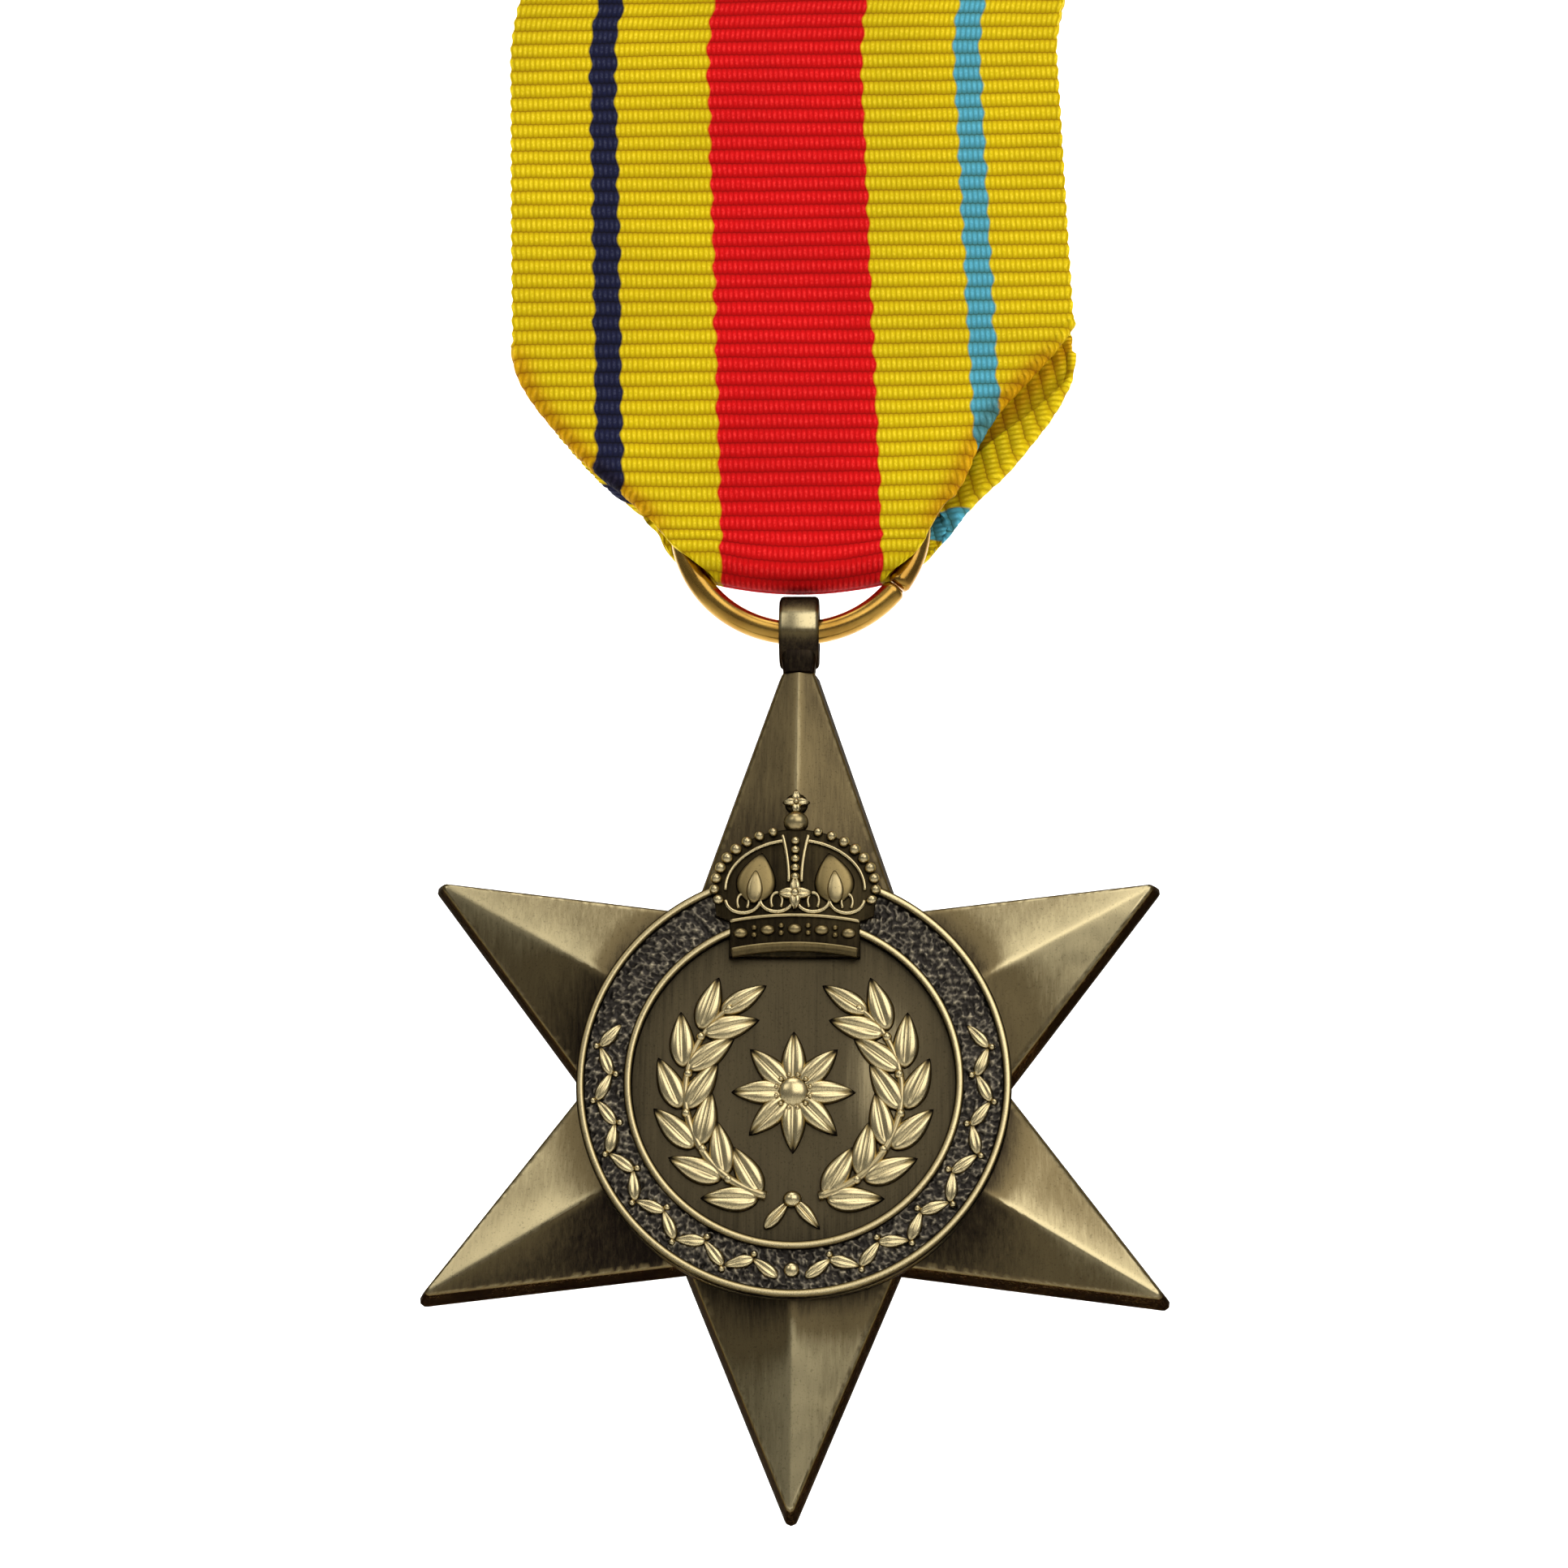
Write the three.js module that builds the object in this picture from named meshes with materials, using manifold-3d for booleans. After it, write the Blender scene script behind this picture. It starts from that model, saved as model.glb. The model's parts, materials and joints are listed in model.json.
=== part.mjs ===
// A service medal on its pin brooch: a faceted six-pointed bronze star that hangs by a loop
// from a gold ring, a folded striped ribbon that holds the ring, and a brooch bar with a
// hinged pin and a turning safety catch.
//
// Millimetres, +Z up. The medal hangs in the XZ plane and faces -Y. The origin is the middle
// of the brooch plate's back face, which lies against the coat.
import * as THREE from 'three';
import { mergeVertices } from 'three/addons/utils/BufferGeometryUtils.js';
import Module from 'manifold-3d';

const wasm = await Module();
wasm.setup();

// ---- Driving dimensions -------------------------------------------------------------

const GAP = 0.03; // between pieces that sit in or on each other

// Hanging line: everything below the ribbon bar hangs in the plane y = HANG_Y.
const HANG_Y = -2.4;
const STAR_Z = -76.0; // star centre
const BAR_Z = -5.0; // ribbon bar's axis

// Star, in a frame whose origin is the star centre
const STAR_RADIUS = 22.3; // centre to a tip: 44.6 mm from tip to opposite tip
const NOTCH_RADIUS = 11.0; // centre to a corner between two arms
const TIP_FLAT = 0.35; // blunt end of each point
const NECK_FLAT = 1.7; // blunt end of the upper arm, under the loop
const NECK_RADIUS = 23.3;
const STAR_BACK = 0.85; // y of the flat back
const STAR_EDGE = -1.05; // y of the facets' outer edge
const APEX_RISE = 2.14; // height that the ridges would reach at the centre
const WALL_DRAFT = 0.3; // how far the back stands out past the front edge

// Medallion
const DISC_RADIUS = 11.5;
const DISC_SEAT = -1.2;
const DISC_FRONT = -2.3;
const RIM_FRONT = -2.75;
const RIM_WIDTH = 0.5;
const FIELD_RADIUS = 8.5; // inside of the inner rim
const BAND_FLOOR = -2.42;
const ROUND = 72; // sides of the round pieces

// Wreath in the field
const WREATH_RADIUS = 5.7;
const WREATH_Z = -0.6;
const LEAF = { length: 2.9, width: 1.3, height: 0.44 };

// Ring and loop
const WIRE_RADIUS = 0.7;
const RING_RADIUS = 6.65; // centre line
const RING_BOTTOM = 26.0; // wire's centre above the star centre
const LOOP_OUTER = 2.05;
const LOOP_HOLE = 1.05;
const LOOP_WIDTH = 2.2;

// Ribbon: 32 mm wide, one length folded through the ring and round the bar
const RIBBON_HALF = 16.0;
const RIBBON_INNER = 0.9; // half the space between the two layers
const RIBBON_OUTER = 1.4;
const FOLD_HALF = 4.1; // half width where the ribbon passes through the ring
const FOLD_Z = 29.9; // axis of the lower fold above the star centre

// Brooch
const PLATE = { length: 36.0, height: 6.0, thickness: 1.0, corner: 1.2 };
const BAR_RADIUS = 0.8;
const ARM = { x: 16.7, thickness: 1.1, radius: 1.5 };
const PIN_Y = 2.2;
const PIN_RADIUS = 0.45;
const HINGE_X = -13.5;
const PIN_TIP_X = 16.6;
const CATCH = { x: 12.0, length: 4.0, cheek: 0.9, outer: 1.9, bore: 0.8, mouth: 36 };
const LOCK = { outer: 1.45, tab: 2.9, tabWidth: 0.8, tabAngle: -60 };

// ---- Materials ----------------------------------------------------------------------

const finish = (color, roughness, metalness) =>
  new THREE.MeshStandardMaterial({ color, roughness, metalness });

const BRONZE = finish(0x8f8058, 0.42, 1.0);
const DARK_BRONZE = finish(0x3d372c, 0.6, 1.0);
const BRIGHT_BRONZE = finish(0xb5a576, 0.35, 1.0);
const GOLD = finish(0xd9a441, 0.22, 1.0);
const BRASS = finish(0xc2a25a, 0.35, 1.0);
const STEEL = finish(0xb9bcc0, 0.3, 1.0);
const RIBBON = finish(0xe2c81f, 0.85, 0.0);

// ---- Helpers ------------------------------------------------------------------------

const rad = THREE.MathUtils.degToRad;

function solid(geometry) {
  const bare = geometry.index ? geometry.toNonIndexed() : geometry.clone();
  bare.deleteAttribute('normal');
  bare.deleteAttribute('uv');
  const merged = mergeVertices(bare, 1e-4);
  return new wasm.Manifold(new wasm.Mesh({
    numProp: 3,
    vertProperties: new Float32Array(merged.attributes.position.array),
    triVerts: new Uint32Array(merged.index.array),
  }));
}

function geometryOf(body) {
  const mesh = body.getMesh();
  const geometry = new THREE.BufferGeometry();
  geometry.setAttribute('position', new THREE.BufferAttribute(mesh.vertProperties, 3));
  geometry.setIndex(new THREE.BufferAttribute(mesh.triVerts, 1));
  geometry.computeVertexNormals();
  return geometry;
}

const union = (bodies) => bodies.reduce((sum, body) => sum.add(body));

function piece(name, body, material) {
  const mesh = new THREE.Mesh(geometryOf(body), material);
  mesh.name = name;
  return mesh;
}

function box(x0, x1, y0, y1, z0, z1) {
  const shape = new THREE.BoxGeometry(x1 - x0, y1 - y0, z1 - z0);
  return solid(shape.translate((x0 + x1) / 2, (y0 + y1) / 2, (z0 + z1) / 2));
}

// A cylinder along Y, X or Z between two stations on that axis.
function cylinder(axis, radius, from, to, [u, v] = [0, 0], sides = 24) {
  const shape = new THREE.CylinderGeometry(radius, radius, to - from, sides);
  shape.translate(0, (from + to) / 2, 0);
  if (axis === 'x') shape.rotateZ(-Math.PI / 2).translate(0, u, v);
  if (axis === 'y') shape.translate(u, 0, v);
  if (axis === 'z') shape.rotateX(Math.PI / 2).translate(u, v, 0);
  return solid(shape);
}

// An outline drawn in (x, z) and given thickness between two values of y.
function slab(shape, yFrom, yTo, curveSegments = 6) {
  const depth = yTo - yFrom;
  const options = { depth, bevelEnabled: false, curveSegments };
  return solid(new THREE.ExtrudeGeometry(shape, options).rotateX(Math.PI / 2).translate(0, yTo, 0));
}

// An outline drawn in (y, z) and given length between two values of x.
function rail(shape, xFrom, xTo, curveSegments = 10) {
  const options = { depth: xTo - xFrom, bevelEnabled: false, curveSegments };
  const geometry = new THREE.ExtrudeGeometry(shape, options);
  return solid(geometry.rotateX(Math.PI / 2).rotateZ(Math.PI / 2).translate(xFrom, 0, 0));
}

const polygon = (points) => new THREE.Shape(points.map(([x, y]) => new THREE.Vector2(x, y)));

function roundedRect(width, height, corner) {
  const [w, h, r] = [width / 2, height / 2, corner];
  const shape = new THREE.Shape();
  shape.moveTo(-w + r, -h).lineTo(w - r, -h).absarc(w - r, -h + r, r, -Math.PI / 2, 0);
  shape.lineTo(w, h - r).absarc(w - r, h - r, r, 0, Math.PI / 2);
  shape.lineTo(-w + r, h).absarc(-w + r, h - r, r, Math.PI / 2, Math.PI);
  shape.lineTo(-w, -h + r).absarc(-w + r, -h + r, r, Math.PI, 1.5 * Math.PI);
  return shape;
}

// A ring-shaped piece round the Y axis: radii and y values of a rectangular section.
function annulus(inner, outer, yBack, yFront, chamfer = 0) {
  const section = [
    [inner, yBack], [outer, yBack], [outer, yFront + chamfer],
    [outer - chamfer, yFront], [inner + chamfer, yFront], [inner, yFront + chamfer], [inner, yBack],
  ].filter(([r, y], i, all) => i === 0 || r !== all[i - 1][0] || y !== all[i - 1][1]);
  const points = section.map(([r, y]) => new THREE.Vector2(r, -y));
  return solid(new THREE.LatheGeometry(points, ROUND).rotateX(Math.PI));
}

// A small rounded lump on a surface: an ellipsoid, its long axis turned by `turn` in XZ.
function lump([x, y, z], [along, rise, across], turn = 0, [sides, rows] = [8, 4]) {
  const shape = new THREE.SphereGeometry(1, sides, rows).rotateX(Math.PI / 2).scale(along, rise, across);
  return solid(shape.rotateY(-turn).translate(x, y, z));
}

function tube(points, radius, steps, sides = 8) {
  const path = new THREE.CatmullRomCurve3(points.map((p) => new THREE.Vector3(...p)));
  const section = new THREE.Shape().absarc(0, 0, radius, 0, 2 * Math.PI);
  const options = { extrudePath: path, steps, curveSegments: sides / 2, bevelEnabled: false };
  return solid(new THREE.ExtrudeGeometry(section, options));
}

const behind = (y, reach = 40) => box(-reach, reach, y, y + reach, -reach, reach);

// ---- Star body ----------------------------------------------------------------------

// Corners of the front edge, anticlockwise seen from the front, three to each arm.
function starArms() {
  const arms = [];
  for (let arm = 0; arm < 6; arm++) {
    const direction = rad(90 + 60 * arm);
    const [radius, flat] = arm === 0 ? [NECK_RADIUS, NECK_FLAT] : [STAR_RADIUS, TIP_FLAT];
    const along = new THREE.Vector2(Math.cos(direction), Math.sin(direction));
    const across = new THREE.Vector2(along.y, -along.x);
    const notch = new THREE.Vector2(Math.cos(direction - rad(30)), Math.sin(direction - rad(30)));
    const notchSide = NOTCH_RADIUS * Math.sin(rad(30));
    const notchAlong = NOTCH_RADIUS * Math.cos(rad(30));
    const reach = radius + ((flat / 2) * (radius - notchAlong)) / (notchSide - flat / 2);
    arms.push({
      notch: notch.multiplyScalar(NOTCH_RADIUS),
      right: along.clone().multiplyScalar(radius).addScaledVector(across, flat / 2),
      middle: along.clone().multiplyScalar(radius),
      left: along.clone().multiplyScalar(radius).addScaledVector(across, -flat / 2),
      rise: APEX_RISE * (1 - radius / reach),
    });
  }
  return arms;
}

// Moves every side of a closed outline outward by `distance`.
function grow(outline, distance) {
  return outline.map((point, i) => {
    const before = outline[(i + outline.length - 1) % outline.length];
    const after = outline[(i + 1) % outline.length];
    const inward = point.clone().sub(before).normalize();
    const outward = after.clone().sub(point).normalize();
    const normal = new THREE.Vector2(inward.y + outward.y, -inward.x - outward.x).normalize();
    const spread = normal.x * inward.y - normal.y * inward.x;
    return point.clone().addScaledVector(normal, distance / spread);
  });
}

function starBody() {
  const arms = starArms();
  const front = arms.flatMap(({ notch, right, left }) => [notch, right, left]);
  const back = grow(front, WALL_DRAFT);
  const at = (point, y) => [point.x, y, point.y];
  const apex = [0, STAR_EDGE - APEX_RISE, 0];
  const triangles = [];
  arms.forEach(({ notch, right, middle, left, rise }, i) => {
    const ridge = at(middle, STAR_EDGE - rise);
    const next = arms[(i + 1) % arms.length].notch;
    triangles.push([at(notch, STAR_EDGE), at(right, STAR_EDGE), ridge]);
    triangles.push([at(right, STAR_EDGE), at(left, STAR_EDGE), ridge]);
    triangles.push([at(left, STAR_EDGE), at(next, STAR_EDGE), ridge]);
    triangles.push([at(notch, STAR_EDGE), ridge, apex]);
    triangles.push([ridge, at(next, STAR_EDGE), apex]);
  });
  front.forEach((point, i) => {
    const j = (i + 1) % front.length;
    const [a, b] = [at(point, STAR_EDGE), at(front[j], STAR_EDGE)];
    const [c, d] = [at(back[i], STAR_BACK), at(back[j], STAR_BACK)];
    triangles.push([a, c, b], [b, c, d]);
  });
  for (const [a, b, c] of THREE.ShapeUtils.triangulateShape(back, [])) {
    triangles.push([at(back[a], STAR_BACK), at(back[c], STAR_BACK), at(back[b], STAR_BACK)]);
  }
  const geometry = new THREE.BufferGeometry();
  geometry.setAttribute('position', new THREE.Float32BufferAttribute(triangles.flat(2), 3));
  const pocket = cylinder('y', DISC_RADIUS + GAP, STAR_EDGE - APEX_RISE - 1, DISC_SEAT, [0, 0], ROUND);
  return solid(geometry).subtract(pocket);
}

// ---- Medallion ----------------------------------------------------------------------

const medallionDisc = () => cylinder('y', DISC_RADIUS, DISC_FRONT, DISC_SEAT, [0, 0], ROUND);
const outerRim = () =>
  annulus(DISC_RADIUS - RIM_WIDTH, DISC_RADIUS, DISC_FRONT, RIM_FRONT, 0.12);
const innerRim = () =>
  annulus(FIELD_RADIUS, FIELD_RADIUS + RIM_WIDTH, DISC_FRONT, RIM_FRONT, 0.12);

// The band between the rims, with small leaves and pellets round its lower part.
function circletBand() {
  const inner = FIELD_RADIUS + RIM_WIDTH + GAP;
  const outer = DISC_RADIUS - RIM_WIDTH - GAP;
  const middle = (inner + outer) / 2;
  const relief = [];
  const leaves = 13;
  for (let i = 0; i < leaves; i++) {
    for (const side of [-1, 1]) {
      const angle = rad(-90 + side * (8 + (i * 96) / (leaves - 1)));
      const tilt = side * (i % 2 === 0 ? 0.45 : -0.45);
      const place = [middle * Math.cos(angle), BAND_FLOOR, middle * Math.sin(angle)];
      relief.push(lump(place, [0.72, 0.3, 0.3], angle + Math.PI / 2 + tilt, [6, 4]));
    }
  }
  const rawBand = annulus(inner, outer, DISC_FRONT, BAND_FLOOR);
  return union([rawBand, ...relief]).subtract(behind(DISC_FRONT));
}

// ---- Wreath, rosette and tie in the field ---------------------------------------------

function laurelBranch(side) {
  const at = (angle, radius) => [side * radius * Math.cos(angle), WREATH_Z + radius * Math.sin(angle)];
  const [from, to] = [rad(-76), rad(52)];
  const stations = 6;
  const bodies = [];
  const stem = [];
  for (let i = 0; i <= 8; i++) {
    const [x, z] = at(from + ((to - from) * i) / 8, WREATH_RADIUS);
    stem.push([x, DISC_FRONT - 0.1, z]);
  }
  bodies.push(tube(stem, 0.24, 16, 6));
  for (let i = 0; i < stations; i++) {
    const angle = from + ((to - from) * (i + 0.75)) / stations;
    for (const lean of [-1, 1]) {
      const [x, z] = at(angle, WREATH_RADIUS + lean * 0.72);
      const tangent = angle + Math.PI / 2 - lean * 0.5;
      const turn = side > 0 ? tangent : Math.PI - tangent;
      const size = [LEAF.length / 2, LEAF.height, LEAF.width / 2];
      bodies.push(lump([x, DISC_FRONT, z], size, turn));
    }
  }
  const [x, z] = at(to + 0.16, WREATH_RADIUS);
  const tipTurn = side > 0 ? to + Math.PI / 2 : Math.PI / 2 - to;
  bodies.push(lump([x, DISC_FRONT, z], [LEAF.length / 2, LEAF.height, LEAF.width / 2], tipTurn));
  return union(bodies).subtract(behind(DISC_FRONT));
}

function centreRosette() {
  const petals = 8;
  const bodies = [lump([0, DISC_FRONT, WREATH_Z], [0.95, 0.62, 0.95], 0, [16, 8])];
  for (let i = 0; i < petals; i++) {
    const angle = (i * 2 * Math.PI) / petals;
    const reach = 1.75;
    const place = [reach * Math.cos(angle), DISC_FRONT, WREATH_Z + reach * Math.sin(angle)];
    bodies.push(lump(place, [1.5, 0.44, 0.68], angle, [10, 6]));
  }
  return union(bodies).subtract(behind(DISC_FRONT));
}

function wreathTie() {
  const z = WREATH_Z - WREATH_RADIUS;
  const bodies = [lump([0, DISC_FRONT, z], [0.55, 0.5, 0.5])];
  for (const side of [-1, 1]) {
    bodies.push(lump([side * 0.75, DISC_FRONT, z - 0.85], [1.05, 0.34, 0.36], -side * 0.85));
  }
  return union(bodies).subtract(behind(DISC_FRONT));
}

// ---- Crown ----------------------------------------------------------------------------

const CROWN = {
  back: -1.1, plateFront: -2.95, front: -3.1,
  bandLow: 6.7, bandHigh: 8.5, bandHalf: 3.45,
  shoulder: 9.4, half: 4.35, archTop: 13.3,
  orb: 14.0, orbRadius: 0.62, finial: 15.15, finialHalf: 0.62,
};

function crownArch(side, t) {
  const angle = (t * Math.PI) / 2;
  return [
    side * CROWN.half * Math.cos(angle),
    CROWN.shoulder + 0.9 + (CROWN.archTop - CROWN.shoulder - 0.9) * Math.sin(angle),
  ];
}

function crown(neighbours) {
  const outline = new THREE.Shape();
  outline.moveTo(-CROWN.bandHalf, CROWN.bandLow).lineTo(CROWN.bandHalf, CROWN.bandLow);
  outline.lineTo(CROWN.bandHalf, CROWN.bandHigh).lineTo(CROWN.half, CROWN.shoulder);
  for (let i = 0; i <= 8; i++) outline.lineTo(...crownArch(1, i / 8));
  for (let i = 7; i >= 0; i--) outline.lineTo(...crownArch(-1, i / 8));
  outline.lineTo(-CROWN.half, CROWN.shoulder).lineTo(-CROWN.bandHalf, CROWN.bandHigh);
  const bodies = [slab(outline, CROWN.plateFront, CROWN.back)];

  const band = { from: CROWN.bandLow, to: CROWN.bandLow + 0.45 };
  bodies.push(box(-CROWN.bandHalf, CROWN.bandHalf, CROWN.front - 0.1, CROWN.back, band.from, band.to));
  for (let gem = -2; gem <= 2; gem++) {
    bodies.push(lump([gem * 1.4, CROWN.plateFront, CROWN.bandLow + 1.1], [0.42, 0.3, 0.34]));
  }
  const pearls = 8;
  for (const side of [-1, 1]) {
    for (let i = 0; i < pearls; i++) {
      const [x, z] = crownArch(side, (i + 0.2) / pearls);
      bodies.push(lump([x, CROWN.plateFront + 0.05, z], [0.3, 0.32, 0.3], 0, [6, 4]));
    }
    bodies.push(lump([side * 2.1, CROWN.plateFront, CROWN.shoulder + 1.4], [0.85, 0.32, 1.15]));
  }
  for (let i = 0; i < 4; i++) {
    const z = CROWN.shoulder + 1.8 + i * 0.52;
    bodies.push(lump([0, CROWN.plateFront, z], [0.27, 0.34, 0.27], 0, [6, 4]));
  }
  const flower = CROWN.shoulder + 0.75;
  bodies.push(slab(polygon([[0, flower - 0.95], [0.95, flower], [0, flower + 0.95], [-0.95, flower]]),
    CROWN.front - 0.1, CROWN.back));
  bodies.push(lump([0, -2.35, CROWN.orb], [CROWN.orbRadius, 0.75, CROWN.orbRadius], 0, [12, 8]));
  bodies.push(box(-0.25, 0.25, -2.6, CROWN.back, CROWN.archTop - 0.5, CROWN.finial));
  const f = CROWN.finialHalf;
  bodies.push(slab(polygon([[0, CROWN.finial - f], [f, CROWN.finial], [0, CROWN.finial + f],
    [-f, CROWN.finial]]), -2.75, CROWN.back));
  const whole = union(bodies);
  return neighbours.reduce((left, cut) => left.subtract(cut), whole);
}

// ---- Ring and loop --------------------------------------------------------------------

const suspensionRing = () => solid(new THREE.TorusGeometry(RING_RADIUS, WIRE_RADIUS, 10, 48)
  .rotateX(Math.PI / 2).translate(0, 0, RING_BOTTOM + RING_RADIUS));

function suspensionLoop(star) {
  const half = LOOP_WIDTH / 2;
  const barrel = cylinder('x', LOOP_OUTER, -half, half, [0, RING_BOTTOM], 24);
  const neckTop = RING_BOTTOM - LOOP_HOLE;
  const neck = box(-NECK_FLAT / 2, NECK_FLAT / 2, STAR_EDGE, STAR_BACK, NECK_RADIUS, neckTop);
  const hole = cylinder('x', LOOP_HOLE, -half - 1, half + 1, [0, RING_BOTTOM], 24);
  return barrel.add(neck).subtract(hole).subtract(star.translate([0, 0, GAP]));
}

// ---- Ribbon ---------------------------------------------------------------------------

// Half outline of one layer, from the bar down to the fold: [half width, height].
const RIBBON_TAPER = [
  [RIBBON_HALF, 43.5], [15.2, 41.2], [13.0, 37.4], [9.2, 33.4], [7.4, 31.2], [FOLD_HALF, FOLD_Z],
];

function ribbonLayer(side, top) {
  const right = [[RIBBON_HALF, top], ...RIBBON_TAPER];
  const left = right.map(([x, z]) => [-x, z]).reverse();
  const [near, far] = side < 0 ? [-RIBBON_OUTER, -RIBBON_INNER] : [RIBBON_INNER, RIBBON_OUTER];
  return slab(polygon([...left, ...right].reverse()), near, far);
}

function ribbonTurn(z, half, opensUp) {
  const shape = new THREE.Shape();
  const [from, to] = opensUp ? [Math.PI, 2 * Math.PI] : [0, Math.PI];
  shape.absarc(0, z, RIBBON_OUTER, from, to).absarc(0, z, RIBBON_INNER, to, from, true);
  return rail(shape, -half, half, 8);
}

// ---- Brooch ---------------------------------------------------------------------------

function broochPlate() {
  const plate = slab(roundedRect(PLATE.length, PLATE.height, PLATE.corner), -PLATE.thickness, 0);
  const bodies = [plate];
  for (const side of [-1, 1]) {
    const near = side * ARM.x - ARM.thickness / 2;
    const eye = cylinder('x', ARM.radius, near, near + ARM.thickness, [HANG_Y, BAR_Z], 24);
    const web = new THREE.Shape();
    web.moveTo(-PLATE.thickness, PLATE.height / 2 - PLATE.corner).lineTo(0, PLATE.height / 2 - PLATE.corner);
    web.lineTo(0, -PLATE.height / 2 + PLATE.corner);
    web.lineTo(HANG_Y + ARM.radius * 0.8, BAR_Z - ARM.radius * 0.6);
    web.lineTo(HANG_Y - ARM.radius * 0.8, BAR_Z + ARM.radius * 0.6);
    bodies.push(eye, rail(web, near, near + ARM.thickness));
  }
  const hole = cylinder('x', BAR_RADIUS + GAP, -PLATE.length, PLATE.length, [HANG_Y, BAR_Z], 24);
  return union(bodies).subtract(hole);
}

function ribbonBar() {
  const half = ARM.x + ARM.thickness / 2;
  const bodies = [cylinder('x', BAR_RADIUS, -half - 0.4, half + 0.4, [HANG_Y, BAR_Z], 24)];
  for (const side of [-1, 1]) {
    const [a, b] = [half + GAP, half + 0.5].map((x) => side * x).sort((p, q) => p - q);
    bodies.push(cylinder('x', BAR_RADIUS + 0.35, a, b, [HANG_Y, BAR_Z], 24));
  }
  return union(bodies);
}

const RIVET_RADIUS = 0.4;
const KNUCKLE = { radius: 1.05, half: 0.5 };
const EAR = { inner: 0.58, outer: 1.13 };

function hingeBracket() {
  const bodies = [box(HINGE_X - 2.6, HINGE_X + 1.6, 0, 0.4, -EAR.outer - 0.5, EAR.outer + 0.5)];
  for (const side of [-1, 1]) {
    const [a, b] = [side * EAR.inner, side * EAR.outer].sort((p, q) => p - q);
    bodies.push(cylinder('z', KNUCKLE.radius + 0.15, a, b, [HINGE_X, PIN_Y], 24));
    bodies.push(box(HINGE_X - 1.2, HINGE_X + 1.2, 0.2, PIN_Y, a, b));
  }
  return union(bodies).subtract(
    cylinder('z', RIVET_RADIUS + GAP, -4, 4, [HINGE_X, PIN_Y], 24));
}

function hingeRivet() {
  const bodies = [cylinder('z', RIVET_RADIUS, -EAR.outer - 0.4, EAR.outer + 0.4, [HINGE_X, PIN_Y], 24)];
  for (const side of [-1, 1]) {
    const [a, b] = [EAR.outer + GAP, EAR.outer + 0.45].map((z) => side * z).sort((p, q) => p - q);
    bodies.push(cylinder('z', 0.75, a, b, [HINGE_X, PIN_Y], 24));
  }
  return union(bodies);
}

function broochPin() {
  const knuckle = cylinder('z', KNUCKLE.radius, -KNUCKLE.half, KNUCKLE.half, [HINGE_X, PIN_Y], 24);
  const taper = 3.2;
  const profile = [[0, HINGE_X + 0.6], [PIN_RADIUS, HINGE_X + 0.6], [PIN_RADIUS, PIN_TIP_X - taper],
    [PIN_RADIUS * 0.55, PIN_TIP_X - taper * 0.35], [0.06, PIN_TIP_X], [0, PIN_TIP_X]];
  const lathe = new THREE.LatheGeometry(profile.map(([r, x]) => new THREE.Vector2(r, x)), 12);
  const shaft = solid(lathe.rotateZ(-Math.PI / 2).translate(0, PIN_Y, 0));
  const hole = cylinder('z', RIVET_RADIUS + GAP * 2, -4, 4, [HINGE_X, PIN_Y], 24);
  return union([knuckle, shaft]).subtract(hole);
}

// A C-shaped section round (0, 0) whose mouth faces +Y, `mouth` degrees to each side.
function cSection(inner, outer, mouth) {
  const [from, to] = [rad(mouth), rad(360 - mouth)];
  const shape = new THREE.Shape();
  shape.absarc(0, 0, outer, from, to).absarc(0, 0, inner, to, from, true);
  return shape;
}

function catchHousing() {
  const end = CATCH.x + CATCH.length;
  const cheeks = [[CATCH.x, CATCH.x + CATCH.cheek], [end - CATCH.cheek, end]];
  const bodies = cheeks.map(([a, b]) =>
    rail(cSection(CATCH.bore, CATCH.outer, CATCH.mouth), a, b, 12).translate([0, PIN_Y, 0]));
  const shell = new THREE.Shape();
  shell.absarc(0, 0, CATCH.outer, rad(115), rad(245));
  shell.absarc(0, 0, LOCK.outer + GAP * 2, rad(245), rad(115), true);
  bodies.push(rail(shell, CATCH.x, end, 8).translate([0, PIN_Y, 0]));
  bodies.push(box(CATCH.x, end, 0, PIN_Y - LOCK.outer - 0.2, -1.2, 1.2));
  return union(bodies);
}

function catchLock() {
  const from = CATCH.x + CATCH.cheek + GAP * 2;
  const to = CATCH.x + CATCH.length - CATCH.cheek - GAP * 2;
  const ring = rail(cSection(CATCH.bore, LOCK.outer, CATCH.mouth), from, to, 12);
  const tab = box(from + 0.3, to - 0.3, LOCK.outer - 0.3, LOCK.tab, -LOCK.tabWidth / 2, LOCK.tabWidth / 2)
    .rotate([LOCK.tabAngle, 0, 0]);
  return ring.add(tab).translate([0, PIN_Y, 0]);
}

// ---- Assembly -------------------------------------------------------------------------

const medal = new THREE.Group();

medal.add(
  piece('brooch_plate', broochPlate(), BRASS),
  piece('ribbon_bar', ribbonBar(), BRASS),
  piece('pin_hinge_bracket', hingeBracket(), BRASS),
  piece('hinge_rivet', hingeRivet(), STEEL),
  piece('brooch_pin', broochPin(), STEEL),
  piece('catch_housing', catchHousing(), BRASS),
  piece('catch_lock', catchLock(), BRASS),
);

const barHeight = BAR_Z - STAR_Z;
const hanging = new THREE.Group();
hanging.position.set(0, HANG_Y, STAR_Z);
hanging.add(
  piece('ribbon_front', ribbonLayer(-1, barHeight), RIBBON),
  piece('ribbon_rear', ribbonLayer(1, barHeight), RIBBON),
  piece('ribbon_upper_loop', ribbonTurn(barHeight, RIBBON_HALF, false), RIBBON),
  piece('ribbon_lower_fold', ribbonTurn(FOLD_Z, FOLD_HALF, true), RIBBON),
  piece('suspension_ring', suspensionRing(), GOLD),
);
medal.add(hanging);

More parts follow.
